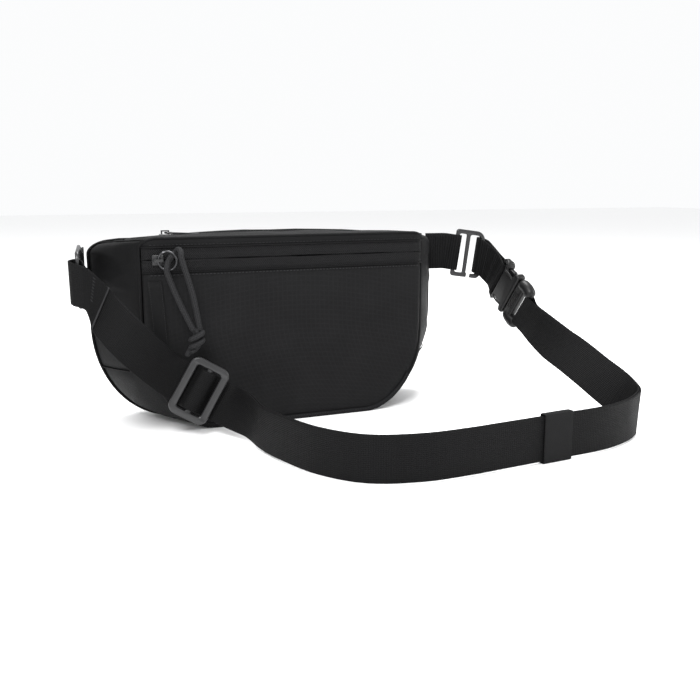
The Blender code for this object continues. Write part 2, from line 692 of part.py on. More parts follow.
def tab_and_hook(side, root, turn):
    """The doubled webbing tab from the pouch seam, and the hook on it. Returns the outer rail's centre and its direction."""
    angle, droop = math.radians(turn), math.radians(HOOK_DROOP)
    level = Vector((math.cos(angle), math.sin(angle), 0))
    out = level * math.cos(droop) - upward * math.sin(droop)
    start = Vector(root)
    bend = start + level * TAB_OUT * 0.5
    rail = bend + out * TAB_OUT * 0.5
    way = guide([(start, upward), (bend, upward), (rail - out * 0.006, out.cross(level.cross(out))),
                 (rail, out.cross(level.cross(out)))], 4)
    long = way[1][-1]
    round_rail = arc((long, 0), (HOOK_RAIL / 2 + LOOP_IN, PLATE / 2 + LOOP_IN), 90, -90, 12)
    near = long - 0.012
    steps = [(0, LAY), (near, LAY), (near + 0.006, LAY * 2)] + round_rail
    steps += [(near + 0.006, -LAY * 2), (near, -LAY), (0, -LAY)]
    ribbon(f"tab_{side}", way, steps, "webbing")
    base = axes(rail, out, upward) @ Matrix.Translation((-HOOK_RAIL / 2, 0, 0))
    made = plate(f"hook_{side}", HOOK, HOOK_CORNERS, PLATE, base, "metal")
    turn_about(made, rail)
    cut(made, (HOOK_SLOT, SLOT_HIGH, 4 * PLATE), (HOOK_RAIL + HOOK_SLOT / 2, 0, 0), base)
    mouth = HOOK_RAIL + HOOK_SLOT + HOOK_BAR
    cut(made, (HOOK_MOUTH, SLOT_HIGH, 4 * PLATE), (mouth + HOOK_MOUTH / 2, 0, 0), base)
    cut(made, (HOOK_GATE, HOOK[1] / 2, 4 * PLATE), (mouth + HOOK_GATE / 2 + 0.001, -HOOK[1] / 2, 0), base)
    outer = (mouth + HOOK_MOUTH + HOOK[0]) / 2
    return base @ Vector((outer, 0, 0)), base.to_3x3() @ Vector((0, 1, 0))


right_rail, right_up = tab_and_hook("right", TAB_RIGHT_AT, TAB_RIGHT_TURN)
left_rail, left_up = tab_and_hook("left", TAB_LEFT_AT, TAB_LEFT_TURN)

buckle = axes(BUCKLE_AT, BUCKLE_ALONG, BUCKLE_UP)
buckle_up = buckle.to_3x3() @ Vector((0, 1, 0))
female_bar = buckle @ Vector((-FEMALE_LONG + BAR / 2, 0, 0))
male_bar = buckle @ Vector((MALE_LONG - BAR / 2, 0, 0))
male_lead = buckle @ Vector((MALE_LONG + 0.0100, 0, 0))
BAR_LOOP = (BAR / 2 + LOOP_IN + 0.0002, BAR_THICK / 2 + LOOP_IN + 0.0002)

# Sewn loop from the right hook to the female half of the buckle.
female_lead = buckle @ Vector((-FEMALE_LONG - 0.0040, 0, 0))
loop_way = guide([
    (right_rail - Vector((0, 0, 0.0008)), right_up),
    (right_rail + Vector((0.0014, -0.0050, -0.0026)), right_up),
    (female_lead, buckle_up),
    (female_bar, buckle_up),
], 8, False)
loop_long = loop_way[1][-1]
steps = arc((0, 0), (SLACK, SLACK), 90, 270, 12)
steps += [(0.006, -SLACK * 0.80), (0.012, -LAY * 2.1), (loop_long - 0.014, -LAY), (loop_long - 0.007, -LAY * 1.9)]
steps += arc((loop_long, 0), BAR_LOOP, -90, 90, 12)
steps += [(loop_long - 0.007, LAY * 1.9), (loop_long - 0.014, LAY), (0.012, LAY * 2.1), (0.006, SLACK * 0.80)]
ribbon("buckle_loop", loop_way, steps, "webbing", (0, 0, 0), True)

glide_frame = axes(GLIDE_AT, GLIDE_ALONG, GLIDE_UP)
glide_along = glide_frame.to_3x3() @ Vector((1, 0, 0))
glide_up = tuple(glide_frame.to_3x3() @ Vector((0, 1, 0)))
glide_at = Vector(GLIDE_AT)
REST = 0.0270               # straight run either side of the tri-glide
first, last = Vector((*STRAIGHT_FROM, BELT_Z)), Vector((*STRAIGHT_TO, BELT_Z))
UP = (0, 0, 1)
belt = guide([
    (left_rail - upward * 0.0018, left_up),
    (left_rail + Vector((0.0052, -0.0062, -0.0050)), left_up),
    (left_rail + Vector((0.0180, -0.0100, -0.0270)), (0.50, 0.02, 0.86)),
    (Vector((-0.1540, -0.0700, 0.0900)), (0.60, -0.03, 0.80)),
    (glide_at - glide_along * REST, glide_up),
    (glide_at, glide_up),
    (glide_at + glide_along * REST, glide_up),
    (Vector((-0.0615, -0.1010, BELT_Z + 0.003)), (0.12, 0.10, 0.98)),
    (Vector((-0.0585, -0.1350, BELT_Z)), UP),
    (Vector((-0.0500, -0.1750, BELT_Z)), UP),
    (Vector((-0.0360, -0.2130, BELT_Z)), UP),
    (Vector((-0.0100, -0.2440, BELT_Z)), UP),
    (Vector((0.0300, -0.2570, BELT_Z)), UP),
    (Vector((0.0700, -0.2575, BELT_Z)), UP),
    (first, UP),
    (first.lerp(last, 0.5), UP),
    (last, UP),
    (Vector((0.2380, -0.2350, BELT_Z)), UP),
    (Vector((0.2610, -0.2215, BELT_Z + 0.0006)), (0.03, 0.02, 1)),
    (Vector((0.2682, -0.2140, BELT_Z + 0.0030)), (0.15, 0.04, 0.98)),
    (Vector((0.2672, -0.2040, BELT_Z + 0.0080)), (0.36, -0.02, 0.92)),
    (Vector((0.2610, -0.1930, 0.0370)), (0.58, -0.12, 0.80)),
    (Vector((0.2545, -0.1700, 0.0490)), (0.76, -0.20, 0.60)),
    (Vector((0.2510, -0.1430, 0.0600)), (0.70, -0.25, 0.66)),
    (Vector((0.2490, -0.1150, 0.0690)), (0.44, -0.42, 0.79)),
    (male_lead, buckle_up),
    (male_bar, buckle_up),
], 8, False)
belt_long = belt[1][-1]
glide_run = nearest_run(belt, glide_at)
keeper_run = nearest_run(belt, first.lerp(last, 0.5))
TAIL = 0.0300               # sewn-back end at the left hook


def along_belt(start, end, height, gap=0.012):
    """Evenly spaced steps at one height."""
    count = max(2, round(abs(end - start) / gap))
    return [(start + (end - start) * i / count, height) for i in range(count + 1)]


OVER = [(-0.0175, 0.0), (-0.0122, 0.0), (-0.0092, 0.0010), (-0.0069, 0.0035), (-0.0051, 0.0063), (-0.0027, 0.0076),
        (0.0, 0.0076), (0.0025, 0.0074), (0.0046, 0.0063), (0.0066, 0.0035), (0.0090, 0.0010), (0.0122, 0.0),
        (0.0175, 0.0)]
over_glide = [(glide_run + u, LAY + h) for u, h in OVER]
TAIL_STEP = 0.0025          # both layers of the sewn-back end share their stations
steps = along_belt(TAIL, 0.010, 3 * LAY, TAIL_STEP)
steps += arc((0, LAY), (SLACK, SLACK), 90, 270, 10)
steps += along_belt(0.010, TAIL, LAY, TAIL_STEP) + along_belt(TAIL, glide_run - 0.024, LAY)[1:]
steps += over_glide + along_belt(glide_run + 0.024, keeper_run - JOIN_GAP / 2, LAY, 0.010)
ribbon("belt_outer", belt, steps, "webbing")

UNDER = [(0.0240, -0.0040), (0.0122, -0.0040), (0.0060, -0.0029), (0.0030, -0.0008), (0.0, 0.0001), (-0.0030, 0.0004),
         (-0.0038, 0.0029), (-0.0030, 0.0053), (0.0, 0.0057), (0.0028, 0.0052), (0.0037, 0.0036), (0.0046, 0.0017),
         (0.0075, -0.0010), (0.0122, -0.0020), (0.0175, -0.0020)]
steps = [(glide_run + u, LAY + h) for u, h in UNDER]
steps += along_belt(glide_run + 0.024, keeper_run - JOIN_GAP / 2, -LAY, 0.010)
ribbon("belt_inner", belt, steps, "webbing")

steps = along_belt(keeper_run + JOIN_GAP / 2, belt_long - 0.016, LAY, 0.008)
steps += [(belt_long - 0.008, LAY * 1.8)] + arc((belt_long, 0), BAR_LOOP, 90, -90, 12) + [(belt_long - 0.008, -LAY * 1.8)]
steps += along_belt(belt_long - 0.016, keeper_run + JOIN_GAP / 2, -LAY, 0.008)
ribbon("belt_return", belt, steps, "webbing")

# ---- Tri-glide ----
point, run_along, run_up, run_face = on_guide(belt, glide_run)
half_glide = GLIDE_BAR / 2 + GLIDE_SLOT + GLIDE_RAIL
glide = axes(point + run_face * (LAY + 0.0029), run_along, run_up)
glide_base = glide @ Matrix.Translation((-half_glide, 0, 0))
glide_size = (2 * half_glide, SLOT_HIGH + 2 * 0.0048)
made = plate("tri_glide", glide_size, (0.006, 0.006, 0.006, 0.006), GLIDE_T, glide_base, "metal")
for sign in (-1, 1):
    middle = half_glide + sign * (GLIDE_BAR + GLIDE_SLOT) / 2
    cut(made, (GLIDE_SLOT, SLOT_HIGH, 4 * GLIDE_T), (middle, 0, 0), glide_base)

# ---- Keeper band ----
point, run_along, run_up, run_face = on_guide(belt, keeper_run)
keeper = axes(point, run_along, run_up)
hole = (2 * KEEPER_LONG, WEB + 2 * KEEPER_CLEAR, 2 * WEB_T + WEB_GAP + 2 * KEEPER_CLEAR)
outside = (KEEPER_LONG, hole[1] + 2 * KEEPER_WALL, hole[2] + 2 * KEEPER_WALL)
made = box("keeper", outside, (0, 0, 0), "band", keeper, 0.0008)
cut(made, hole, (0, 0, 0), keeper)

# ---- Side-release buckle: x from the female half to the male half ----
made = box("buckle_female", (FEMALE_LONG, BUCKLE_W, BUCKLE_T), (-FEMALE_LONG / 2, 0, 0), "plastic", buckle, 0.0026, parts, 3)
cut(made, (2 * CAVITY[0], CAVITY[1], CAVITY[2]), (0, 0, 0), buckle)
for sign in (-1, 1):
    notch = (WINDOW[0], BUCKLE_W, 2 * BUCKLE_T)
    cut(made, notch, (-WINDOW[2], sign * (WINDOW[1] + BUCKLE_W / 2), 0), buckle)
cut(made, (WEB_SLOT[0], SLOT_HIGH, 2 * BUCKLE_T), (-FEMALE_LONG + BAR + WEB_SLOT[0] / 2, 0, 0), buckle)
for sign in (-1, 1):
    thin = (2 * BAR + WEB_SLOT[0], SLOT_HIGH - WEB_CLEAR, BUCKLE_T)
    cut(made, thin, (-FEMALE_LONG, 0, sign * (BAR_THICK + BUCKLE_T) / 2), buckle)

male_size = (MALE_LONG - MALE_START, BUCKLE_W - 0.002, MALE_T)
made = box("buckle_male", male_size, ((MALE_LONG + MALE_START) / 2, 0, 0), "plastic", buckle, 0.0028, parts, 3)
cut(made, (WEB_SLOT[1], SLOT_HIGH, 2 * MALE_T), (MALE_LONG - BAR - WEB_SLOT[1] / 2, 0, 0), buckle)
for sign in (-1, 1):
    thin = (2 * BAR + WEB_SLOT[1] / 2, SLOT_HIGH - WEB_CLEAR, MALE_T)
    cut(made, thin, (MALE_LONG, 0, sign * (BAR_THICK + MALE_T) / 2), buckle)
join(made, (0.0180, 0.0090, 0.0040), (-0.0070, 0, 0), buckle)

for side, sign in (("upper", 1), ("lower", -1)):
    made = box(f"prong_{side}", PRONG, (-BITE * 2 - PRONG[0] / 2, sign * PRONG_AT, 0), "plastic", buckle, PRONG[1] / 7)
    barb = (BARB[0], BARB[1], PRONG[2] - 2 * BITE)
    join(made, barb, (-WINDOW[2], sign * (PRONG_AT + BARB[2]), 0), buckle, PRONG[1] / 6)
    turn_about(made, buckle @ Vector((-BITE * 2, sign * PRONG_AT, 0)))
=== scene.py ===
import math

import bmesh
import bpy
import numpy as np
from mathutils import Matrix, Vector, noise


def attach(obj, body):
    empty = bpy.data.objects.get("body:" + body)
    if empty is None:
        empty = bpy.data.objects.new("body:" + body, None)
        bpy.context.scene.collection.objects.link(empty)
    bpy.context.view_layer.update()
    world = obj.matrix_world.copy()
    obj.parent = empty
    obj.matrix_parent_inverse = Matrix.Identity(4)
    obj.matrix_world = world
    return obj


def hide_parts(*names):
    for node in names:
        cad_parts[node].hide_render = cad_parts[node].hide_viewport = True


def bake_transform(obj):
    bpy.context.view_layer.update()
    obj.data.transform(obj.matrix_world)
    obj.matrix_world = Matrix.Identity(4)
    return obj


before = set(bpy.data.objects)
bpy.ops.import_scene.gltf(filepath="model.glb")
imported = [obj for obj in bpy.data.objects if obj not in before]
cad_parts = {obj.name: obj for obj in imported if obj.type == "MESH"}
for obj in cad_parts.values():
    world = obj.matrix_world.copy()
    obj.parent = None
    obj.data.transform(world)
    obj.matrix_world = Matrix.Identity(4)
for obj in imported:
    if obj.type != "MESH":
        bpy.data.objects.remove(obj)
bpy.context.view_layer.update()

UP, X, Y = Vector((0, 0, 1)), Vector((1, 0, 0)), Vector((0, 1, 0))
SIDES = (("right", 1), ("left", -1))
WEB, WEB_T = 0.038, 0.0016
LAY = 0.0010                # each layer of the doubled belt off its guide
RIBBON_PITCH, BLUNT = 0.0022, 0.62    # webbing's fineness, and how square its loops are
PANEL_HALF, PANEL_FLAT, PANEL_Y, PANEL_TOP = 0.139, 0.130, -0.046, 0.176
PANEL_FOOT, PANEL_SHOULDER = (0.066, 0.096), (0.014, 0.010)
POUCH_HALF, POUCH_TOP, CROWN, CROWN_FROM = 0.177, 0.1795, 0.0105, 0.120
POUCH_FOOT, POUCH_SHOULDER = (0.074, 0.092), (0.018, 0.012)
SEAM_Y, SHELL_DEPTH, CLOTH, WING_BULGE = 0.0185, 0.032, 0.0016, 0.004
ZIP_Z, REACH, REAR_FACE = 0.1570, 0.0112, -0.0458
MAIN_Y, MAIN_Z = 0.0060, 0.1747
TOP_EDGE = (MAIN_Y - REACH - 0.0007 - PANEL_Y) / (SEAM_Y - PANEL_Y)
REAR_PIVOT = Vector((-0.1245, -0.04915, 0.1570))


# ---- Finishes ----
class Wire:
    """A node's output. Sums, products and differences of wires add their own Math nodes."""

    def __init__(self, tree, socket):
        self.tree, self.socket = tree, socket

    def add(self, kind, sockets=(), out=0, stops=(), **settings):
        """Any other node: its settings first, then the values or wires of its sockets."""
        made = self.tree.nodes.new("ShaderNode" + kind)
        for key, value in settings.items():
            setattr(made, key, value)
        for k, (place, shade) in enumerate(stops):
            spots = made.color_ramp.elements
            spot = spots[k] if k < 2 else spots.new(place)
            spot.position, spot.color = place, (shade, shade, shade, 1)
        for key, value in dict(sockets).items():
            if isinstance(value, Wire):
                self.tree.links.new(value.socket, made.inputs[key])
            else:
                made.inputs[key].default_value = value
        return Wire(self.tree, made.outputs[out])

    def sum(self, operation, *values):
        return self.add("Math", enumerate(values), operation=operation)

    def __add__(self, other):
        return self.sum("ADD", self, other)

    def __sub__(self, other):
        return self.sum("SUBTRACT", self, other)

    def __rsub__(self, other):
        return self.sum("SUBTRACT", other, self)

    def __mul__(self, other):
        return self.sum("MULTIPLY", self, other)

    def __truediv__(self, other):
        return self.sum("DIVIDE", self, other)

    __radd__, __rmul__ = __add__, __mul__

    def wave(self, pitch):
        """0 to 1 and back over each pitch."""
        return self.sum("SINE", self * (2 * math.pi / pitch)) * 0.5 + 0.5

    def ridge(self, pitch, sharp=1.0):
        """Round ribs a pitch apart with narrow valleys."""
        swing = self.sum("SINE", self * (math.pi / pitch))
        return self.sum("POWER", self.sum("ABSOLUTE", swing), sharp)

    def grain(self, scale, detail=3.0, rough=0.55):
        return self.add("TexNoise", {"Vector": self, "Scale": scale, "Detail": detail, "Roughness": rough})

    def spread(self, low, high):
        """Stretch this range to 0..1."""
        return self.add("MapRange", {"Value": self, "From Min": low, "From Max": high})

    def shade(self, dark, light):
        """Blend two colours by this value."""
        return self.add("Mix", {0: self, 6: (*dark, 1), 7: (*light, 1)}, 2, data_type="RGBA")


def finish(name, work, **constants):
    """A material. work(start, place) gives its colour, roughness, height and the height's depth in metres."""
    mat = bpy.data.materials.new(name)
    mat.use_nodes = True
    shader = mat.node_tree.nodes["Principled BSDF"]
    start = Wire(mat.node_tree, None)
    place = start.add("TexCoord", out=3)
    colour, rough, height, depth = work(start, place)
    for socket, value in (("Base Color", colour), ("Roughness", rough)):
        if isinstance(value, Wire):
            mat.node_tree.links.new(value.socket, shader.inputs[socket])
        else:
            shader.inputs[socket].default_value = value
    if height is not None:
        bump = start.add("Bump", {"Height": height, "Distance": depth, "Strength": 1.0})
        mat.node_tree.links.new(bump.socket, shader.inputs["Normal"])
    for key, value in constants.items():
        shader.inputs[key.replace("_", " ")].default_value = value
    return mat


def lay_of(start):
    """Along and across the piece, in metres, from its own lay attribute."""
    lay = start.add("Attribute", out=1, attribute_name="lay")
    along = lay.add("SeparateXYZ", {0: lay})
    return along, Wire(lay.tree, along.socket.node.outputs[1])


def grey(level, warm=0.0):
    return (level * (1 + warm), level, level * (1 + 0.05 - warm))


def ripstop(start, place):
    x, z = lay_of(start)
    fine = x.ridge(0.00055) * 0.5 + z.ridge(0.00055) * 0.5
    cell = 0.0046
    bars = 1 - x.sum("MINIMUM", x.ridge(cell, 0.06), z.ridge(cell, 0.06))
    cloud = place.grain(26)
    crease = place.grain(60, 2.0)
    dust = place.grain(900, 2.0)
    tone = fine * 0.25 + bars * 1.1 + cloud * 0.5 + dust * 0.25
    colour = tone.shade(grey(0.0018), grey(0.0110))
    rough = 0.56 + cloud * 0.16 - bars * 0.1
    return colour, rough, bars * 0.8 + fine * 0.35 + crease * 1.2, 0.00022


def plain(dark, light, sheen=0.6, pitch=0.00062):
    def work(start, place):
        x, z = lay_of(start)
        fine = x.ridge(pitch) * 0.5 + z.ridge(pitch * 1.13) * 0.5
        cloud = place.grain(22)
        fold = place.grain(48, 4.0, 0.6)
        colour = (fine * 0.35 + cloud * 0.75).shade(grey(dark), grey(light))
        return colour, sheen + cloud * 0.14, fine * 0.3 + fold * 1.6, 0.00030

    return work


def webbing(dark, light, ribbed, deep=0.00034):
    """Belt webbing: fine wales along it, or heavier ribs across it."""
    def work(start, place):
        along, across = lay_of(start)
        picks = along.ridge(0.0019, 0.7)
        wales = (across + along.wave(0.0038) * 0.00030).ridge(0.00155, 0.7)
        if ribbed:
            height = along.ridge(0.0026, 0.9) * 0.85 + wales * 0.25
        else:
            height = wales * 0.75 + picks * 0.40
        cloud = place.grain(55)
        edge = across.sum("ABSOLUTE", across).spread(WEB * 0.455, WEB * 0.49)
        tone = height * 0.62 + cloud * 0.35 + edge * 0.10
        colour = tone.shade(grey(dark), grey(light))
        return colour, 0.52 + cloud * 0.18, height, deep

    return work


def chevron(start, place):
    x, z = lay_of(start)
    rows = (x + z.sum("PINGPONG", z, 0.0030)).ridge(0.0020, 0.8)
    bands = z.ridge(0.0030, 0.3)
    cloud = place.grain(300, 2.0)
    colour = (rows * 0.75 + cloud * 0.25).shade(grey(0.0004), grey(0.0130))
    return colour, 0.5 + cloud * 0.15, rows + bands * 0.6, 0.00055


def braid(start, place):
    along, around = lay_of(start)
    one = (along + around * 0.7).ridge(0.0026, 0.8)
    two = (along - around * 0.7).ridge(0.0026, 0.8)
    rib = around.ridge(0.0020, 0.8)
    height = one.sum("MAXIMUM", one, two) * 0.7 + rib * 0.5
    cloud = place.grain(400, 2.0)
    colour = (height * 0.75 + cloud * 0.2).shade(grey(0.0010), grey(0.0200))
    return colour, 0.62 + cloud * 0.1, height, 0.00055


def coated(dark, light, rough, fleck=900.0):
    def work(start, place):
        cloud = place.grain(60)
        fine = place.grain(fleck, 2.0)
        # Lighter, shinier patches at random: partly wear, partly painted glints.
        wear_and_glint = place.grain(240, 5.0, 0.7).spread(0.60, 0.72)
        colour = (cloud * 0.4 + fine * 0.3 + wear_and_glint * 0.35).shade(grey(dark), grey(light))
        return colour, rough + cloud * 0.12 - wear_and_glint * 0.06, fine + cloud * 0.8, 0.00005

    return work


def wire_metal(start, place):
    cloud = place.grain(220, 3.0)
    # Bright silver patches at random: partly worn wire, partly painted glints.
    wear_and_glint_spots = place.grain(130, 4.0, 0.65).spread(0.52, 0.66)
    colour = wear_and_glint_spots.shade(grey(0.05), grey(0.32))
    return colour, 0.26 + cloud * 0.16, cloud, 0.00003


def elastic(start, place):
    along, across = lay_of(start)
    rows = across.ridge(0.00095, 0.7)
    knit = along.ridge(0.0008, 0.8)
    cloud = place.grain(90)
    colour = (rows * 0.35 + knit * 0.2 + cloud * 0.5).shade(grey(0.0024), grey(0.0095))
    return colour, 0.58 + cloud * 0.12, rows * 0.7 + knit * 0.4, 0.00018


FABRIC = dict(Specular_IOR_Level=0.07)
LOOKS = {
    "ripstop": finish("ripstop_cloth", ripstop, **FABRIC),
    "cloth": finish("pack_cloth", plain(0.0022, 0.0085, 0.50), **FABRIC),
    "binding": finish("binding_tape", plain(0.0040, 0.0110, 0.52, 0.0009), **FABRIC),
    "foam": finish("lined_foam", plain(0.008, 0.018, 0.75, 0.0012), **FABRIC),
    "webbing": finish("belt_webbing", webbing(0.0001, 0.0060, False, 0.00045), **FABRIC),
    "ribbed": finish("ribbed_webbing", webbing(0.0001, 0.0066, True, 0.00055), **FABRIC),
    "label": finish("label_satin", plain(0.0030, 0.0080, 0.40, 0.0004), **FABRIC),
    "band": finish("keeper_elastic", elastic, **FABRIC),
    "tape": finish("fastener_tape", chevron, **FABRIC),
    "coil": finish("fastener_coil", coated(0.004, 0.010, 0.34), Specular_IOR_Level=0.3),
    "metal": finish("black_metal", coated(0.010, 0.034, 0.28), Metallic=0.35, Coat_Weight=0.15,
                    Coat_Roughness=0.22),
    "wire": finish("wire_wear_and_glints", wire_metal, Metallic=0.9),
    "plastic": finish("moulded_nylon", coated(0.0030, 0.0075, 0.34, 1400.0), Specular_IOR_Level=0.25),
    "cord": finish("braided_cord", braid, **FABRIC),
    "thread": finish("sewing_thread", coated(0.016, 0.034, 0.55), **FABRIC),
}
SLOTS = {"binding": "cloth", "ribbed": "webbing", "label": "webbing", "wire": "metal",
         "thread": "cloth"}


def place(obj, look, body, *nodes):
    """Give a piece its finish and its body, and hide the nodes it stands for."""
    obj.data.materials.clear()
    obj.data.materials.append(LOOKS[look])
    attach(obj, body)
    SLOTS.get(look, look)
    if nodes:
        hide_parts(*nodes)
    return obj


def blended(obj, look, node=""):
    """A piece given its finish, with its node hidden and its placement baked into its mesh."""
    obj.data.materials.append(LOOKS[look])
    if node:
        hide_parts(node)
    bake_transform(obj)


def shape(name, points, faces, lay=None):
    """A mesh object, with the piece's own along and across kept on each point."""
    mesh = bpy.data.meshes.new(name)
    mesh.from_pydata([tuple(p) for p in points], [], faces)
    if lay is not None:
        kept = mesh.attributes.new("lay", "FLOAT_VECTOR", "POINT")
        kept.data.foreach_set("vector", np.array(lay, np.float32).ravel())
    tidy = bmesh.new()
    tidy.from_mesh(mesh)
    bmesh.ops.recalc_face_normals(tidy, faces=tidy.faces)
    tidy.to_mesh(mesh)
    tidy.free()
    mesh.shade_smooth()
    obj = bpy.data.objects.new(name, mesh)
    bpy.context.scene.collection.objects.link(obj)
    return obj


def sharp(obj, degrees):
    """Smooth the rounded parts and keep the corners crisp."""
    mesh = obj.data
    tool = bmesh.new()
    tool.from_mesh(mesh)
    for edge in tool.edges:
        edge.smooth = len(edge.link_faces) == 2 and edge.calc_face_angle(0) < math.radians(degrees)
    tool.to_mesh(mesh)
    tool.free()
    return obj


# ---- Webbing guides, the same as the solids follow ----
def guide(stations, fine=8, square=True):
    places = [Vector(p) for p, _ in stations]
    ups = [Vector(w).normalized() for _, w in stations]
    line = []
    for k in range(len(places) - 1):
        before, after = max(k - 1, 0), min(k + 2, len(places) - 1)
        p0, p1, p2, p3 = places[before], places[k], places[k + 1], places[after]
        span = (p2 - p1).length
        lead = ((p2 - p0) if before < k else (p2 - p1)).normalized() * span
        tail = ((p3 - p1) if after > k + 1 else (p2 - p1)).normalized() * span
        for i in range(fine):
            t = i / fine
            h1, h2 = 2 * t**3 - 3 * t**2 + 1, t**3 - 2 * t**2 + t
            spot = p1 * h1 + lead * h2 + p2 * (1 - h1) + tail * (t**3 - t**2)
            line.append((spot, ups[k].lerp(ups[k + 1], t)))
    line.append((places[-1], ups[-1]))
    run = [0.0]
    for a, b in zip(line, line[1:]):
        run.append(run[-1] + (b[0] - a[0]).length)
    return line, run, square


def on_guide(way, s):
    """Point, along, width and normal at a distance; straight on past either end."""
    line, run, square = way
    k = min(max(int(np.searchsorted(run, s, "left")) - 1, 0), len(run) - 2)
    t = (s - run[k]) / (run[k + 1] - run[k])
    a, b = max(k - 1, 0), min(k + 2, len(line) - 1)
    here = line[k + 1][0] - line[k][0]
    ahead, behind = line[b][0] - line[k + 1][0], line[k][0] - line[a][0]
    bend = min(max(t, 0.0), 1.0)
    start = (behind + here) if a < k else here
    end = (here + ahead) if b > k + 1 else here
    along = start.normalized().lerp(end.normalized(), bend).normalized()
    width = line[k][1].lerp(line[k + 1][1], bend)
    if square:
        width = width - along * width.dot(along)
    width = width.normalized()
    return line[k][0] + here * t, along, width, along.cross(width).normalized()


def denser(steps, pitch, closed=False):
    """More points along a run of (distance, height) steps, on a smooth line through them."""
    pts = [Vector(p) for p in steps]
    made = []
    count = len(pts)
    for k in range(count if closed else count - 1):
        if closed:
            p0, p1, p2, p3 = (pts[(k + i) % count] for i in (-1, 0, 1, 2))
        else:
            p0, p1, p2, p3 = pts[max(k - 1, 0)], pts[k], pts[k + 1], pts[min(k + 2, count - 1)]
        bits = max(1, round((p2 - p1).length / pitch))
        for i in range(bits):
            t = i / bits
            made.append(0.5 * (2 * p1 + (p2 - p0) * t + (2 * p0 - 5 * p1 + 4 * p2 - p3) * t * t
                               + (3 * p1 - p0 - 3 * p2 + p3) * t**3))
    if not closed:
        made.append(pts[-1])
    return made


def strip_profile(wide, thick, across=8):
    """A flat band's section with soft selvedges."""
    half, t = wide / 2, thick / 2
    side = [(-half + 0.0007, -t), (-half + 0.0002, -t * 0.7), (-half, 0), (-half + 0.0002, t * 0.7),
            (-half + 0.0007, t)]
    inner = [(-half + wide * i / across, t) for i in range(1, across)]
    top = side + inner + [(-x, z) for x, z in reversed(side)]
    return top + [(x, -t) for x, _ in reversed(inner)]


def sweep(name, places, profile, closed=False):
    """A band through (centre, width, normal) places with this section."""
    wide = len(profile)
    points, lay, faces = [], [], []
    far = 0.0
    for k, (centre, width, normal) in enumerate(places):
        if k:
            far += (centre - places[k - 1][0]).length
        for x, z in profile:
            points.append(centre + width * x + normal * z)
            lay.append((far, x, z))
    rings = len(places) if closed else len(places) - 1
    for k in range(rings):
        a, b = k * wide, (k + 1) % len(places) * wide
        for c in range(wide):
            d = (c + 1) % wide
            faces.append((a + c, a + d, b + d, b + c))
    if not closed:
        faces.append(tuple(range(wide)))
        faces.append(tuple(range(len(points) - 1, len(points) - 1 - wide, -1)))
    return sharp(shape(name, points, faces, lay), 50)


def ribbon(name, way, steps, closed=False):
    """Webbing that follows (distance, height) steps over a guide."""
    spots = []
    for s, h in denser(steps, RIBBON_PITCH, closed):
        point, _, width, normal = on_guide(way, s)
        spots.append((point + normal * h, width))
    count = len(spots)
    places = []
    for k in range(count):
        before = spots[k - 1][0] if closed or k else spots[k][0]
        after = spots[(k + 1) % count][0] if closed or k < count - 1 else spots[k][0]
        along = (after - before).normalized()
        point, width = spots[k]
        if way[2]:
            width = (width - along * width.dot(along)).normalized()
        places.append((point, width, along.cross(width).normalized()))
    return sweep(name, places, strip_profile(WEB, WEB_T), closed)


def arc(centre, radius, start, end, steps):
    """Part of a turn between two angles in degrees, squarer than a circle."""
    made = []
    for i in range(steps + 1):
        a = math.radians(start + (end - start) * i / steps)
        c, s = math.cos(a), math.sin(a)
        along = math.copysign(abs(c) ** BLUNT, c) if abs(c) > 1e-9 else 0.0
        out = math.copysign(abs(s) ** BLUNT, s) if abs(s) > 1e-9 else 0.0
        made.append((centre[0] + radius[0] * along, centre[1] + radius[1] * out))
    return made


def tube(name, line, radius, sides=8, closed=False):
    """A round rod or cord through points, with rounded ends."""
    line = [Vector(p) for p in line]
    count = len(line)
    radii = [radius] * count
    if not closed:
        first, last = line[0] - line[1], line[-1] - line[-2]
        lead = [line[0] + first.normalized() * radius * d for d in (0.8, 0.45)]
        tail = [line[-1] + last.normalized() * radius * d for d in (0.45, 0.8)]
        line = lead + line + tail
        radii = [radius * 0.45, radius * 0.85] + radii + [radius * 0.85, radius * 0.45]
        count = len(line)
    tangents = []
    for k in range(count):
        a = line[k - 1] if closed or k else line[k]
        b = line[(k + 1) % count] if closed or k < count - 1 else line[k]
        tangents.append((b - a).normalized())
    side = tangents[0].orthogonal().normalized()
    starts = [side]
    for k in range(1, count):
        side = side - tangents[k] * side.dot(tangents[k])
        side.normalize()
        starts.append(side)
    slip = 0.0
    if closed:
        last = side - tangents[0] * side.dot(tangents[0])
        slip = math.atan2(last.cross(starts[0]).dot(tangents[0]), last.dot(starts[0]))
    points, lay, faces = [], [], []
    far = 0.0
    for k in range(count):
        if k:
            far += (line[k] - line[k - 1]).length
        u = starts[k]
        v = tangents[k].cross(u)
        for j in range(sides):
            a = 2 * math.pi * j / sides + slip * k / count
            points.append(line[k] + (u * math.cos(a) + v * math.sin(a)) * radii[k])
            lay.append((far, radius * 2 * math.pi * j / sides, 0))
    for k in range(count if closed else count - 1):
        for j in range(sides):
            n, m = (k + 1) % count, (j + 1) % sides
            faces.append((k * sides + j, k * sides + m, n * sides + m, n * sides + j))
    if not closed:
        faces.append(tuple(range(sides)))
        faces.append(tuple(range(count * sides - 1, (count - 1) * sides - 1, -1)))
    return shape(name, points, faces, lay)


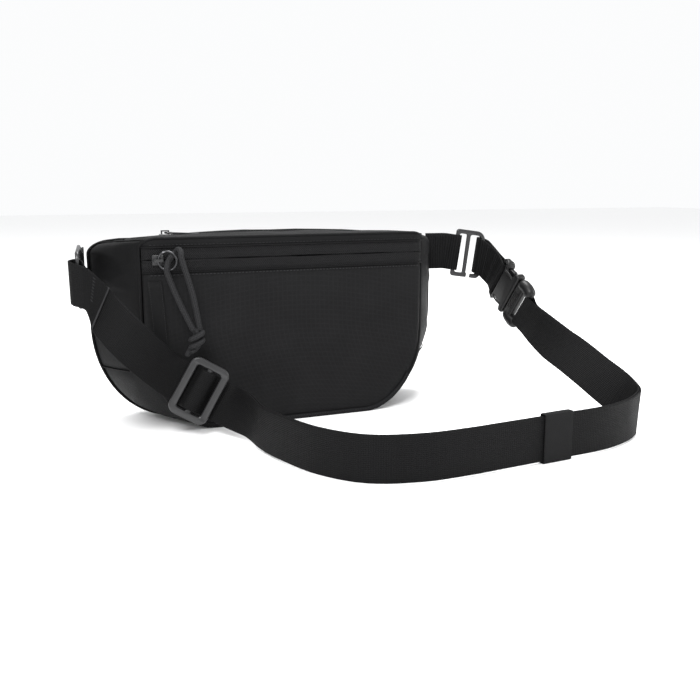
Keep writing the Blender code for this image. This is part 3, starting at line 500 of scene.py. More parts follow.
def stitches(name, runs, long, pitch, thick, lift=0.0):
    """Rows of stitches: each run is a list of (point, surface normal) along a seam."""
    rings = ((0, 0.35, -0.5), (0.22, 0.9, 0.3), (0.5, 1, 0.5), (0.78, 0.9, 0.3), (1, 0.35, -0.5))
    points, faces = [], []
    for run in runs:
        spots = [Vector(p) for p, _ in run]
        ups = [Vector(n).normalized() for _, n in run]
        marks = [0.0]
        for a, b in zip(spots, spots[1:]):
            marks.append(marks[-1] + (b - a).length)

        def at(s):
            k = min(max(int(np.searchsorted(marks, s, "left")) - 1, 0), len(marks) - 2)
            t = (s - marks[k]) / max(marks[k + 1] - marks[k], 1e-9)
            return spots[k].lerp(spots[k + 1], t), ups[k].lerp(ups[k + 1], t).normalized()

        for i in range(int(marks[-1] / pitch)):
            middle = (i + 0.5) * pitch
            (a, up), (b, _) = at(middle - long / 2), at(middle + long / 2)
            along = (b - a).normalized()
            side = along.cross(up).normalized()
            base = len(points)
            for t, size, rise in rings:
                centre = a.lerp(b, t) + up * (lift + rise * thick)
                for j in range(6):
                    w = math.pi * j / 3
                    points.append(centre + (side * math.cos(w) + up * math.sin(w) * 0.8) * thick * size)
            for a in range(base, base + 24, 6):
                for j in range(6):
                    m = (j + 1) % 6
                    faces.append((a + j, a + m, a + 6 + m, a + 6 + j))
            faces.append(tuple(base + j for j in range(6)))
            faces.append(tuple(base + 29 - j for j in range(6)))
    place(shape(name, points, faces), "thread", "pack")


# ---- Camera, light and floor ----
view = bpy.data.objects.new("camera", bpy.data.cameras.new("camera"))
bpy.context.scene.collection.objects.link(view)
view.location = (-0.257, -0.800, 0.222)
view.rotation_euler = (math.radians(79.0), 0, math.radians(-22.7))
view.data.lens, view.data.sensor_width = 43.71, 36.0
bpy.context.scene.camera = view


def lamp(name, at, towards, size, power):
    made = bpy.data.objects.new(name, bpy.data.lights.new(name, "AREA"))
    bpy.context.scene.collection.objects.link(made)
    made.location = at
    made.rotation_euler = (Vector(towards) - Vector(at)).to_track_quat("-Z", "Y").to_euler()
    made.data.size, made.data.energy = size, power


lamp("key", (-0.7, -1.2, 1.4), (0, -0.1, 0.08), 0.7, 36)
lamp("top", (0.2, 0.3, 1.7), (0, -0.1, 0.08), 0.8, 34)
lamp("side", (1.5, -0.6, 0.6), (0.05, -0.1, 0.08), 0.7, 12)
bpy.context.scene.view_settings.view_transform = "Standard"
world = bpy.data.worlds.new("studio")
bpy.context.scene.world = world
world.use_nodes = True
world.node_tree.nodes["Background"].inputs[0].default_value = (0.97, 0.975, 0.98, 1)
world.node_tree.nodes["Background"].inputs[1].default_value = 1.0

corners = [(x * 6, y * 6, -0.0002) for x, y in ((-1, -1), (1, -1), (1, 1), (-1, 1))]
floor = shape("floor", corners, [(0, 1, 2, 3)])
floor.data.materials.append(finish("pale_floor", lambda start, at: ((0.93, 0.93, 0.93, 1), 0.9, None, 0)))


# ---- Pouch ----
def outline(t, half, foot, shoulder, top):
    part, f = math.floor(t) % 8, t - math.floor(t)
    a = f * math.pi / 2
    fx, fz = foot
    sx, sz = shoulder
    flat, tall = half - fx, top - sz - fz
    return [
        lambda: (-flat + 2 * flat * f, 0.0),
        lambda: (flat + fx * math.sin(a), fz - fz * math.cos(a)),
        lambda: (half, fz + tall * f),
        lambda: (half - sx + sx * math.cos(a), top - sz + sz * math.sin(a)),
        lambda: ((half - sx) * (1 - 2 * f), top),
        lambda: (-(half - sx) - sx * math.sin(a), top - sz + sz * math.cos(a)),
        lambda: (-half, top - sz - tall * f),
        lambda: (-half + fx - fx * math.cos(a), fz - fz * math.sin(a)),
    ][part]()


def panel_y(x):
    past = max(0.0, abs(x) - PANEL_FLAT) / (PANEL_HALF - PANEL_FLAT)
    return PANEL_Y + 0.008 * min(past, 1.0) ** 2


def rim_at(t):
    """The pouch's own outline, crowned along the top."""
    x, z = outline(t, POUCH_HALF, POUCH_FOOT, POUCH_SHOULDER, POUCH_TOP)
    return x, z - CROWN * max(0.0, z - CROWN_FROM) / (POUCH_TOP - CROWN_FROM) * (x / POUCH_HALF) ** 2


def gusset(t, s):
    px, pz = outline(t, PANEL_HALF, PANEL_FOOT, PANEL_SHOULDER, PANEL_TOP)
    ox, oz = rim_at(t)
    y0 = panel_y(px)
    swell = WING_BULGE * math.sin(math.pi * s)
    side = abs(px) / PANEL_HALF
    x = px + (ox - px) * s + math.copysign(swell * side**3, px)
    z = pz + (oz - pz) * s
    if pz > POUCH_TOP / 2 and side < 0.9:
        dip = min(max((s - TOP_EDGE / 2) / (TOP_EDGE / 2), 0.0), 1.0)
        z += swell / 2
        z -= max(0.0, z - MAIN_Z) * dip * dip * (3 - 2 * dip)
    return Vector((x, y0 + (SEAM_Y - y0) * s, z))


def shell_point(t, a):
    x, z = rim_at(t)
    middle = POUCH_FOOT[1]
    turn = a * math.pi / 2
    wide, deep = math.cos(turn) ** 0.42, math.sin(turn) ** 0.95
    return Vector((x * wide, SEAM_Y + 0.0007 + SHELL_DEPTH * deep, middle + (z - middle) * wide))


def cloth(name, surface, across, up, outward, ripple, thick=CLOTH, tuck=0.0011):
    """A sewn cloth panel: rolled in at its edges, rippled, and closed behind by its own thickness."""
    rows = np.array([[surface(i / across, j / up) for i in range(across + 1)] for j in range(up + 1)])
    du, dv = np.gradient(rows, axis=1), np.gradient(rows, axis=0)
    out = np.cross(du, dv)
    out /= np.linalg.norm(out, axis=2, keepdims=True) + 1e-12
    facing = np.array([outward(Vector(p)) for p in rows.reshape(-1, 3)]).reshape(rows.shape)
    out *= np.sign(np.sign((out * facing).sum(axis=2)).sum())
    lengths_u = np.cumsum(np.linalg.norm(du, axis=2), axis=1)
    lengths_v = np.cumsum(np.linalg.norm(dv, axis=2), axis=0)
    faces, points, inside, lay = [], [], [], []
    for j in range(up + 1):
        for i in range(across + 1):
            u, v = i / across, j / up
            rim = min(lengths_u[j, i] - lengths_u[j, 0], lengths_u[j, -1] - lengths_u[j, i],
                      lengths_v[j, i] - lengths_v[0, i], lengths_v[-1, i] - lengths_v[j, i])
            ease = 1 - math.exp(-(rim / 0.0035) ** 1.3) if rim > 0 else 0.0
            p, n = Vector(rows[j, i]), Vector(out[j, i])
            lift = ripple(u, v, p) * ease - tuck * (1 - ease)
            points.append(p + n * lift)
            inside.append(p + n * (min(lift, 0.0) - thick))
            lay.append((lengths_u[j, i], lengths_v[j, i], 0))
    wide, count = across + 1, len(points)
    for j in range(up):
        for i in range(across):
            a = j * wide + i
            b, c, d = a + 1, a + wide + 1, a + wide
            faces.append((a, b, c, d))
            faces.append((a + count, d + count, c + count, b + count))
    for i in range(across):
        a, b = i, up * wide + i
        faces.append((a, a + count, a + count + 1, a + 1))
        faces.append((b, b + 1, b + count + 1, b + count))
    for j in range(up):
        a, b = j * wide, j * wide + across
        faces.append((a, a + wide, a + wide + count, a + count))
        faces.append((b, b + count, b + wide + count, b + wide))
    return sharp(shape(name, points + inside, faces, lay + lay), 60)


def folds(p, size, seed, stretch=(1, 1, 1)):
    """Soft creases."""
    at = Vector((p.x * stretch[0], p.y * stretch[1], p.z * stretch[2])) * size
    at += Vector((seed, seed * 0.7, -seed))
    n = noise.noise(at) * 0.65 + noise.noise(at * 2.1) * 0.35
    return 1 - 2 * abs(n) - 0.55


def from_middle(p):
    return (p.x * 0.6, p.y + 0.005, (p.z - 0.09) * 0.8)


def edge_at(z):
    if z < PANEL_FOOT[1]:
        lift = 1 - z / PANEL_FOOT[1]
        return PANEL_HALF - PANEL_FOOT[0] * (1 - math.sqrt(max(0.0, 1 - lift * lift)))
    return PANEL_HALF


def panel_between(low, high, power=1.0):
    def surface(u, v):
        z = low + (high - low) * v**power
        x = (edge_at(z) - 0.0006) * math.sin((2 * u - 1) * math.pi / 2)
        return Vector((x, panel_y(x), z))

    return surface


ZIP_LOW, ZIP_HIGH = ZIP_Z - REACH, ZIP_Z + REACH


def panel_ripple(u, v, p):
    crown = 0.0011 * math.sin(math.pi * u) * math.sin(math.pi * v)
    low = math.exp(-((p.z / 0.030) ** 2))
    pucker = 0.0010 * low * noise.noise(Vector((p.x * 110, p.z * 20, 3)))
    return crown + 0.0006 * folds(p, 13, 4.0, (1, 1, 0.7)) * (0.4 + 0.6 * low) + pucker


rear_panel = cloth("rear_panel", panel_between(0.0022, ZIP_LOW - 0.0002, 1.4), 110, 64,
                   lambda p: (0, -1, 0), panel_ripple)
place(rear_panel, "ripstop", "pack", "back_panel")
yoke = cloth("rear_yoke", panel_between(ZIP_HIGH + 0.0002, PANEL_TOP - 0.0012), 90, 6,
             lambda p: (0, -1, 0), lambda u, v, p: 0.0005 * folds(p, 30, 2.0), 0.0012, 0.0006)
place(yoke, "cloth", "pack", "yoke_strip")


def band(name, t0, t1, s0, s1, across, up, ripple, node):
    surface = lambda u, v: gusset(t0 + (t1 - t0) * u, s0 + (s1 - s0) * v)
    return place(cloth(name, surface, across, up, from_middle, ripple), "cloth", "pack", node)


FOOT, SHOULDER, TOP_END = 1.72, 3.75, 4.11
GAP, BAND_START, BAND_END = 0.004, 0.012, 0.985       # how far each band stops short of its seams


def wing_ripple(u, v, p):
    near_tab = math.exp(-(((p.z - 0.150) / 0.035) ** 2))
    fine = near_tab * 0.0018 * folds(p, 34, 1.0, (0.4, 0.5, 1.6))
    return (0.0022 * folds(p, 17, 7.0, (0.5, 1.0, 0.8)) + fine) * math.sin(math.pi * v)


def bottom_ripple(u, v, p):
    end = min(1.0, max(0.0, abs(p.x) - 0.085) / 0.05)
    return (0.0018 * folds(p, 20, 5.0, (1, 0.5, 1)) + 0.0001) * math.sin(math.pi * v) * end


def corner_ripple(u, v, p):
    return -0.0013


band("bottom_band", 1 - FOOT + GAP, FOOT - GAP, BAND_START, BAND_END, 120, 18, bottom_ripple, "bottom_gusset")
band("side_wing_right", FOOT + GAP, SHOULDER - GAP, BAND_START, BAND_END, 70, 26, wing_ripple, "wing_right")
band("side_wing_left", 9 - SHOULDER + GAP, 9 - FOOT - GAP, BAND_START, BAND_END, 70, 26, wing_ripple,
     "wing_left")
band("upper_yoke", SHOULDER + GAP, 9 - SHOULDER - GAP, BAND_START, TOP_EDGE - GAP, 100, 14,
     lambda u, v, p: 0.0015 * folds(p, 15, 9.0, (1, 1.4, 1)) * math.sin(math.pi * v), "top_yoke")
band("upper_corner_right", SHOULDER + GAP, TOP_END + 0.06, TOP_EDGE + 0.002, BAND_END, 20, 10, corner_ripple,
     "top_corner_right")
band("upper_corner_left", 9 - TOP_END - 0.06, 9 - SHOULDER - GAP, TOP_EDGE + 0.002, BAND_END, 20, 10,
     corner_ripple, "top_corner_left")


def shell_half(name, sign):
    """Half of the front shell, from the bottom's middle up one side to the top's middle."""
    def surface(u, v):
        t = 0.5 + 4 * u if sign > 0 else 8.5 - 4 * u
        return shell_point(t, math.acos((1 - v * v) ** (1 / 0.42)) * 2 / math.pi)

    def ripple(u, v, p):
        ends = math.sin(math.pi * min(v * 1.6, 1)) * min(1, abs(p.x) / 0.02)
        return 0.0013 * folds(p, 13, 11.0) * ends

    return cloth(name, surface, 48, 26, lambda p: (p.x, p.y + 0.05, p.z - 0.09), ripple)


for side, sign in SIDES:
    blended(shell_half("front_" + side, sign), "cloth",
            "front_shell" if sign > 0 else "")


# Seams: piped edges between the panels
def seam(name, line, radius, closed=False):
    place(tube(name, line, radius, 8, closed), "cloth", "pack")


def around_panel(t):
    p = gusset(t, 0.0)
    return Vector((p.x, p.y + 0.0010, max(p.z, 0.0014)))


rim = [around_panel(8 * k / 220) for k in range(220)]
seam("panel_piping", rim, 0.0013, True)
side_seam = [gusset(8 * k / 240, 0.995) for k in range(240)]
for p in side_seam:
    p.z = max(p.z, 0.0013)
seam("side_piping", [p for k, p in enumerate(side_seam) if not 4.06 <= 8 * k / 240 <= 4.94], 0.0012)
for name, at in (("foot_seam_", FOOT), ("shoulder_seam_", SHOULDER)):
    for side, t in (("right", at), ("left", 9 - at)):
        seam(name + side, [gusset(t, k / 20) for k in range(21)], 0.0006)

# Binding folded over the bottom edge of the rear panel
binding = []
for k in range(121):
    t = -0.55 + 2.1 * k / 120
    base = gusset(t, 0.0)
    up = Vector((-base.x * 0.35, 0, 0.09 - base.z)).normalized()
    binding.append((base - Y * 0.0008 + up * 0.0018, up, -Y))
strip = [(-0.0024, 0.0), (-0.0021, 0.0006), (0.0, 0.0008), (0.0021, 0.0006), (0.0024, 0.0), (0.0, -0.0004)]
place(sweep("bottom_binding", binding, strip), "binding", "pack")
stitches("binding_stitches", [[(p + up * 0.0012 + n * 0.0007, n) for p, up, n in binding]],
         0.0018, 0.0027, 0.00022)


# ---- Slide fasteners ----
def tape(name, face, along, across, out, half, follow=None):
    """One woven tape: a flat band with its inner edge turned at the slit; follow(x) gives its depth."""
    wide, gap = REACH - 0.0002, 0.00028
    section = [(gap, -0.0009), (gap, -0.0002), (gap + 0.0005, 0.0003), (gap + 0.0020, 0.0002), (wide * 0.5, 0.0),
               (wide - 0.0006, 0.0), (wide, -0.0004), (wide, -0.0009), (wide * 0.5, -0.0010)]
    places = []
    for k in range(61):
        x = -half + 2 * half * k / 60
        sag = 0.00018 * math.sin(x * 95) + 0.00012 * math.sin(x * 31 + 1)
        spot = face + along * x + across * sag
        if follow:
            spot.y = follow(x)
        places.append((spot, across, out))
    return sweep(name, places, section)


FACE = Vector((0, REAR_FACE, ZIP_Z))
for side, sign in (("low", -1), ("high", 1)):
    made = tape("rear_weave_" + side, FACE, X, UP * sign, -Y, 0.1376, lambda x: panel_y(x) + 0.0003)
    place(made, "tape", "pack", "rear_tape_" + side)
TOP_FACE = Vector((0, MAIN_Y, MAIN_Z))
made = tape("top_weave_rear", TOP_FACE, X, -Y, UP, 0.1140)
place(made, "tape", "pack", "top_tape_rear", "top_end_left", "top_end_right")


def at_mouth(obj, look, sign, node=""):
    """Half of a front edge of the mouth, finished and baked in place as blended does."""
    blended(obj, look, node)


for side, sign in SIDES:
    made = tape("top_weave_front_" + side, TOP_FACE + X * sign * 0.0570, X, Y, UP, 0.0570)
    at_mouth(made, "tape", sign, "top_tape_front" if sign > 0 else "")


def coil(name, start, along, across, out, length):
    """The moulded spiral along a tape's edge."""
    line, turn = [], 0.0013
    for k in range(int(length / turn * 8)):
        a = 2 * math.pi * k / 8
        line.append(start + along * (turn * k / 8) + across * (0.0011 + 0.0009 * math.cos(a))
                    + out * 0.0006 * math.sin(a))
    return tube(name, line, 0.00030, 5)


made = coil("top_spiral_rear", TOP_FACE + Vector((-0.097, 0, -0.0021)), X, -Y, UP, 0.194)
place(made, "coil", "pack", "top_coil_rear")
for side, sign in SIDES:
    made = coil("top_spiral_front_" + side, TOP_FACE + Vector((0, 0, -0.0021)), X * sign, Y, UP, 0.097)
    at_mouth(made, "coil", sign, "top_coil_front" if sign > 0 else "")

# Welt from the front tape up to the shell's edge
for side, sign in SIDES:
    def welt(u, v):
        x = sign * 0.1135 * u
        top = POUCH_TOP - CROWN * (x / POUCH_HALF) ** 2 - 0.0008
        return Vector((x, MAIN_Y + REACH - 0.0006 + 0.0026 * v**1.6, MAIN_Z - 0.0003 + (top - MAIN_Z) * v))

    made = cloth("mouth_welt_" + side, welt, 34, 5, lambda p: (0, -1, 1), lambda u, v, p: 0.0, 0.0008, 0.0003)
    at_mouth(made, "cloth", sign)

# Turned edge of the yoke over the upper tape, and the topstitched edge under the lower one
for side, back, z, radius in (("high", 0.0002, ZIP_HIGH - 0.0002, 0.0007),
                              ("low", 0.0001, ZIP_LOW + 0.0001, 0.0006)):
    edge = [Vector((x, panel_y(x) - back, z)) for x in np.linspace(-0.1375, 0.1375, 60)]
    seam("zip_edge_" + side, edge, radius)
for name, back, z, thick, lift in (("zip_topstitch", 0.0008, ZIP_LOW - 0.0022, 0.00040, 0.0001),
                                   ("yoke_topstitch", 0.0009, ZIP_HIGH + 0.0020, 0.00024, 0.0)):
    row = [(Vector((x, panel_y(x) - back, z)), -Y) for x in np.linspace(-0.132, 0.132, 60)]
    stitches(name, [row], 0.0022, 0.0033, thick, lift)

# Rear slider's pull: a wire ring, a loop of cord through it, and the knot that ties the loop
tilt = math.radians(28)
ring_out = Vector((math.cos(tilt), -math.sin(tilt), 0))
RING = 0.0082
ring_line = [REAR_PIVOT + ring_out * RING * (1 - math.cos(a)) + UP * RING * math.sin(a)
             for a in np.linspace(0, 2 * math.pi, 48, endpoint=False)]
place(tube("wire_ring", ring_line, 0.0009, 12, True), "wire", "rear_pull", "pull_ring")
CORD = [(-0.0995, -0.065, 0.0968), (-0.11031, -0.06272, 0.12165), (-0.11871, -0.05744, 0.1465),
        (-0.1185, -0.05619, 0.151), (-0.11665, -0.05355, 0.1562), (-0.11356, -0.05157, 0.16),
        (-0.11047, -0.05174, 0.1634), (-0.108, -0.05475, 0.1664), (-0.10669, -0.05953, 0.1648),
        (-0.10694, -0.06256, 0.1596), (-0.09902, -0.06528, 0.1282), (-0.0935, -0.065, 0.0968)]
cord_line = [p for p, _ in guide([(p, UP) for p in CORD], 5)[0]]
cord_piece = place(tube("pull_loop", cord_line, 0.0026, 14), "cord", "rear_pull", "pull_cord")
knot = Vector((-0.0965, -0.065, 0.087))
turns = []
for k in range(44):
    a = -0.6 + 2 * math.pi * 1.62 * k / 43
    rise = 0.0062 - 0.0108 * k / 43
    turns.append(knot + Vector((0.0050 * math.cos(a), -0.0036 * math.sin(a) - 0.0004, rise + 0.0012 * math.cos(a))))
end, lead = turns[-1], (turns[-1] - turns[-2]).normalized()
turns += [end + lead * on + Vector(drop) for on, drop in (
    (0.0022, (-0.0002, 0.0003, -0.0012)), (0.0040, (-0.0012, 0.0004, -0.0036)),
    (0.0046, (-0.0030, 0.0004, -0.0062)))]
knot_piece = place(tube("tied_knot", turns, 0.0025, 14), "cord", "rear_pull", "cord_knot")
core = [knot + Vector((-0.0006 + 0.0010 * math.sin(k), 0, 0.0085 - 0.0028 * k)) for k in range(6)]
place(tube("knot_core", core, 0.0030, 12), "cord", "rear_pull")
tail = guide([(knot + Vector(d), UP) for d in (
    (0.0016, 0.0006, -0.0050), (-0.0004, 0.0004, -0.0070), (-0.0026, 0.0003, -0.0088),
    (-0.0046, 0.0, -0.0098))], 4)
place(tube("cord_tail", [p for p, _ in tail[0]], 0.0024, 12), "cord", "rear_pull")
cord_length = sum((b - a).length for a, b in zip(cord_line, cord_line[1:]))
tuple(cord_line[0])
round(cord_length + 0.003, 4)
[tuple(p) for p in cord_line]

# Fabric label sewn in beside the fastener, left blank
label = []
for k in range(31):
    v = k / 30
    z = 0.1385 - 0.0600 * v
    y = -0.0480 - 0.0010 * math.sin(math.pi * v) + 0.0006 * (v < 0.04)
    label.append((Vector((-0.1265 - 0.06 * (z - 0.1085), y, z)), X, -Y))
place(sweep("side_label", label, strip_profile(0.0125, 0.0007, 6)), "label", "pack", "tag")
rows = [[(p + X * side * 0.0052 + n * 0.0004, n) for p, _, n in label] for side in (-1, 1)]
stitches("label_stitches", rows, 0.0014, 0.0021, 0.00016)

# ---- Belt ----
BELT = [
    ((-0.1915, -0.0427, 0.1394), (-0.02, -0.14, 0.99)), ((-0.1863, -0.0489, 0.1362), (-0.02, -0.14, 0.99)),
    ((-0.1735, -0.0527, 0.1142), (0.5, 0.02, 0.86)), ((-0.154, -0.07, 0.09), (0.6, -0.03, 0.8)),
    ((-0.1184, -0.0573, 0.0545), (0.52, 0.01, 0.86)), ((-0.096, -0.064, 0.041), (0.52, 0.01, 0.86)),
    ((-0.0736, -0.0707, 0.0275), (0.52, 0.01, 0.86)), ((-0.0615, -0.101, 0.0238), (0.12, 0.1, 0.99)),
    ((-0.0585, -0.135, 0.0208), (0, 0, 1)), ((-0.05, -0.175, 0.0208), (0, 0, 1)),
    ((-0.036, -0.213, 0.0208), (0, 0, 1)), ((-0.01, -0.244, 0.0208), (0, 0, 1)),
    ((0.03, -0.257, 0.0208), (0, 0, 1)), ((0.07, -0.2575, 0.0208), (0, 0, 1)),
    ((0.105, -0.2545, 0.0208), (0, 0, 1)), ((0.155, -0.25, 0.0208), (0, 0, 1)),
    ((0.205, -0.2455, 0.0208), (0, 0, 1)), ((0.238, -0.235, 0.0208), (0, 0, 1)),
    ((0.261, -0.2215, 0.0214), (0.03, 0.02, 1)), ((0.2682, -0.214, 0.0238), (0.15, 0.04, 0.99)),
    ((0.2672, -0.204, 0.0288), (0.36, -0.02, 0.93)), ((0.261, -0.193, 0.037), (0.58, -0.12, 0.8)),
    ((0.2545, -0.17, 0.049), (0.77, -0.2, 0.61)), ((0.251, -0.143, 0.06), (0.7, -0.25, 0.66)),
    ((0.249, -0.115, 0.069), (0.44, -0.42, 0.79)), ((0.2457, -0.0749, 0.0869), (0.04, -0.61, 0.79)),
    ((0.2447, -0.0652, 0.0943), (0.04, -0.61, 0.79)),
]
belt = guide(BELT, 8, False)
GLIDE_RUN, KEEPER_RUN, BELT_LONG = 0.15016, 0.53530, belt[1][-1]
SLACK = 0.0056


def along_belt(start, end, height, gap=0.012):
    count = max(2, round(abs(end - start) / gap))
    return [(start + (end - start) * i / count, height) for i in range(count + 1)]


# How the two layers pass over and under the tri-glide's middle bar, from its middle
OVER = [(-0.0175, 0.0), (-0.0122, 0.0), (-0.0092, 0.0010), (-0.0069, 0.0035), (-0.0051, 0.0063),
        (-0.0027, 0.0076), (0.0, 0.0076), (0.0025, 0.0074), (0.0046, 0.0063), (0.0066, 0.0035), (0.0090, 0.0010),
        (0.0122, 0.0), (0.0175, 0.0)]
UNDER = [(0.0240, -0.0040), (0.0122, -0.0040), (0.0060, -0.0029), (0.0030, -0.0008), (0.0, 0.0001),
         (-0.0030, 0.0004), (-0.0038, 0.0029), (-0.0030, 0.0053), (0.0, 0.0057), (0.0028, 0.0052),
         (0.0037, 0.0036), (0.0046, 0.0017), (0.0075, -0.0010), (0.0122, -0.0020), (0.0175, -0.0020)]
TAIL, GLIDE_PASS = 0.0300, 0.024
steps = along_belt(TAIL, 0.010, 3 * LAY, 0.0025) + arc((0, LAY), (SLACK, SLACK), 90, 270, 10)
steps += along_belt(0.010, TAIL, LAY, 0.0025) + along_belt(TAIL, GLIDE_RUN - GLIDE_PASS, LAY)[1:]
steps += [(GLIDE_RUN + u, LAY + h) for u, h in OVER]
steps += along_belt(GLIDE_RUN + GLIDE_PASS, KEEPER_RUN - 0.0003, LAY, 0.010)
place(ribbon("belt_outer_web", belt, steps), "webbing", "pack", "belt_outer")
steps = [(GLIDE_RUN + u, LAY + h) for u, h in UNDER]
steps += along_belt(GLIDE_RUN + GLIDE_PASS, KEEPER_RUN - 0.0003, -LAY, 0.010)
place(ribbon("belt_inner_web", belt, steps), "webbing", "pack", "belt_inner")
BAR, BAR_THICK, LOOP_IN = 0.0045, 0.0046, 0.0014
BAR_LOOP = (BAR / 2 + LOOP_IN + 0.0002, BAR_THICK / 2 + LOOP_IN + 0.0002)
steps = along_belt(KEEPER_RUN + 0.0003, BELT_LONG - 0.016, LAY, 0.008) + [(BELT_LONG - 0.008, LAY * 1.8)]
steps += arc((BELT_LONG, 0), BAR_LOOP, 90, -90, 12) + [(BELT_LONG - 0.008, -LAY * 1.8)]
steps += along_belt(BELT_LONG - 0.016, KEEPER_RUN + 0.0003, -LAY, 0.008)
blended(ribbon("belt_return_web", belt, steps), "webbing",
        "belt_return")


# Sewn-back tail at the left hook: a row of dashes across the webbing and a sealed cut end
def on_belt(s, across, height):
    point, _, width, normal = on_guide(belt, s)
    return point + width * across + normal * height, normal


face_out = 3 * LAY + WEB_T / 2
rows = []
for k in range(13):
    across = -0.0162 + 0.0324 * k / 12
    rows.append([on_belt(s, across, face_out) for s in (0.0165, 0.0202)])
stitches("tail_dashes", rows, 0.0033, 0.0036, 0.00036)
sealed = [on_belt(TAIL + 0.0002, -0.0189 + 0.0378 * k / 24, 3 * LAY)[0] for k in range(25)]
place(tube("sealed_end", sealed, 0.00095, 8), "thread", "pack")

LOOP = [((0.23345, 0.00378, 0.14539), (0.136, -0.031, 0.99)),
        ((0.23485, -0.00122, 0.14359), (0.136, -0.031, 0.99)),
        ((0.24008, -0.01874, 0.12995), (0.04, -0.606, 0.795)),
        ((0.24057, -0.02368, 0.12616), (0.04, -0.606, 0.795))]
loop_way = guide(LOOP, 8, False)
loop_long = loop_way[1][-1]
steps = arc((0, 0), (SLACK, SLACK), 90, 270, 12)
steps += [(0.006, -SLACK * 0.80), (0.012, -LAY * 2.1), (loop_long - 0.014, -LAY), (loop_long - 0.007, -LAY * 1.9)]
steps += arc((loop_long, 0), BAR_LOOP, -90, 90, 12)
steps += [(loop_long - 0.007, LAY * 1.9), (loop_long - 0.014, LAY), (0.012, LAY * 2.1), (0.006, SLACK * 0.80)]
place(ribbon("buckle_loop_web", loop_way, steps[:-1], True), "ribbed", "pack", "buckle_loop")
rows = []
for sign in (-1, 1):
    for s, height in ((0.0110, LAY * 2.2), (0.0205, LAY * 1.02), (0.0228, LAY * 1.1)):
        row = []
        for k in range(13):
            point, _, width, normal = on_guide(loop_way, s)
            out = normal * sign
            row.append((point + width * (-0.0172 + 0.0344 * k / 12) + out * (height + WEB_T / 2), out))
        rows.append(row)
stitches("loop_stitches", rows, 0.0016, 0.0024, 0.00030)

TABS = {
    "right": [((0.1805, 0.016, 0.152), (0, 0, 1)), ((0.19317, 0.01308, 0.152), (0, 0, 1)),
              ((0.19992, 0.01152, 0.15103), (0.136, -0.031, 0.99)),
              ((0.20571, 0.01018, 0.15019), (0.136, -0.031, 0.99))],
    "left": [((-0.183, 0.011, 0.147), (0, 0, 1)), ((-0.18503, -0.00184, 0.147), (0, 0, 1)),
             ((-0.18612, -0.00869, 0.14603), (-0.022, -0.137, 0.99)),
             ((-0.18705, -0.01455, 0.14519), (-0.022, -0.137, 0.99))],
}
HOOK_LOOP = (0.0045 / 2 + LOOP_IN, 0.0030 / 2 + LOOP_IN)
for side, stations in TABS.items():
    first = Vector(stations[0][0])
    into = first - (Vector(stations[1][0]) - first).normalized() * 0.0075
    way = guide([(into, UP)] + stations, 5)
    long = way[1][-1]
    steps = [(0, LAY), (long - 0.012, LAY), (long - 0.006, LAY * 2)] + arc((long, 0), HOOK_LOOP, 90, -90, 12)
    steps += [(long - 0.006, -LAY * 2), (long - 0.012, -LAY), (0, -LAY)]
    place(ribbon("hook_tab_" + side, way, steps), "ribbed", "pack", "tab_" + side)


# ---- Hardware ----
def axes(origin, along, up):
    x, y = Vector(along).normalized(), Vector(up)
    y = (y - x * y.dot(x)).normalized()
    made = Matrix((x, y, x.cross(y))).transposed().to_4x4()
    made.translation = Vector(origin)
    return made


def rounded(corners, fine=6):
    """A closed outline with its own radius at each corner (x, y, radius)."""
    made, count = [], len(corners)
    for k, (x, y, r) in enumerate(corners):
        here = Vector((x, y))
        back = Vector(corners[k - 1][:2]) - here
        on = Vector(corners[(k + 1) % count][:2]) - here
        half = back.angle(on) / 2
        reach = min(r / math.tan(half), back.length * 0.49, on.length * 0.49)
        r = reach * math.tan(half)
        a, b = here + back.normalized() * reach, here + on.normalized() * reach
        centre = here + (back.normalized() + on.normalized()).normalized() * (r / math.sin(half))
        for i in range(fine + 1):
            out = (a - centre).lerp(b - centre, i / fine)
            made.append(centre + out.normalized() * r)
    return made


def moulded(name, outlines, thick, edge, spot, bow=None, steps=3):
    """A plate cut to its outline and holes, with rounded edges all round."""
    line = bpy.data.curves.new(name, "CURVE")
    line.dimensions, line.fill_mode = "2D", "BOTH"
    line.extrude, line.bevel_depth, line.bevel_resolution, line.offset = thick / 2 - edge, edge, steps, -edge
    for ring in outlines:
        spline = line.splines.new("POLY")
        spline.points.add(len(ring) - 1)
        spline.use_cyclic_u = True
        for point, at in zip(spline.points, ring):
            point.co = (at[0], at[1], 0, 1)
    made = bpy.data.objects.new(name + "_line", line)
    bpy.context.scene.collection.objects.link(made)
    bpy.context.view_layer.update()
    mesh = bpy.data.meshes.new_from_object(made.evaluated_get(bpy.context.evaluated_depsgraph_get()))
    bpy.data.objects.remove(made, do_unlink=True)
    tool = bmesh.new()
    tool.from_mesh(mesh)
    bmesh.ops.remove_doubles(tool, verts=tool.verts, dist=1e-6)
    if bow:
        for v in tool.verts:
            v.co = bow(v.co)
    bmesh.ops.recalc_face_normals(tool, faces=tool.faces)
    tool.to_mesh(mesh)
    tool.free()
    mesh.transform(spot)
    mesh.shade_smooth()
    obj = bpy.data.objects.new(name, mesh)
    bpy.context.scene.collection.objects.link(obj)
    return sharp(obj, 32)


def rect(x0, x1, half, r):
    return rounded([(x0, -half, r), (x1, -half, r), (x1, half, r), (x0, half, r)])


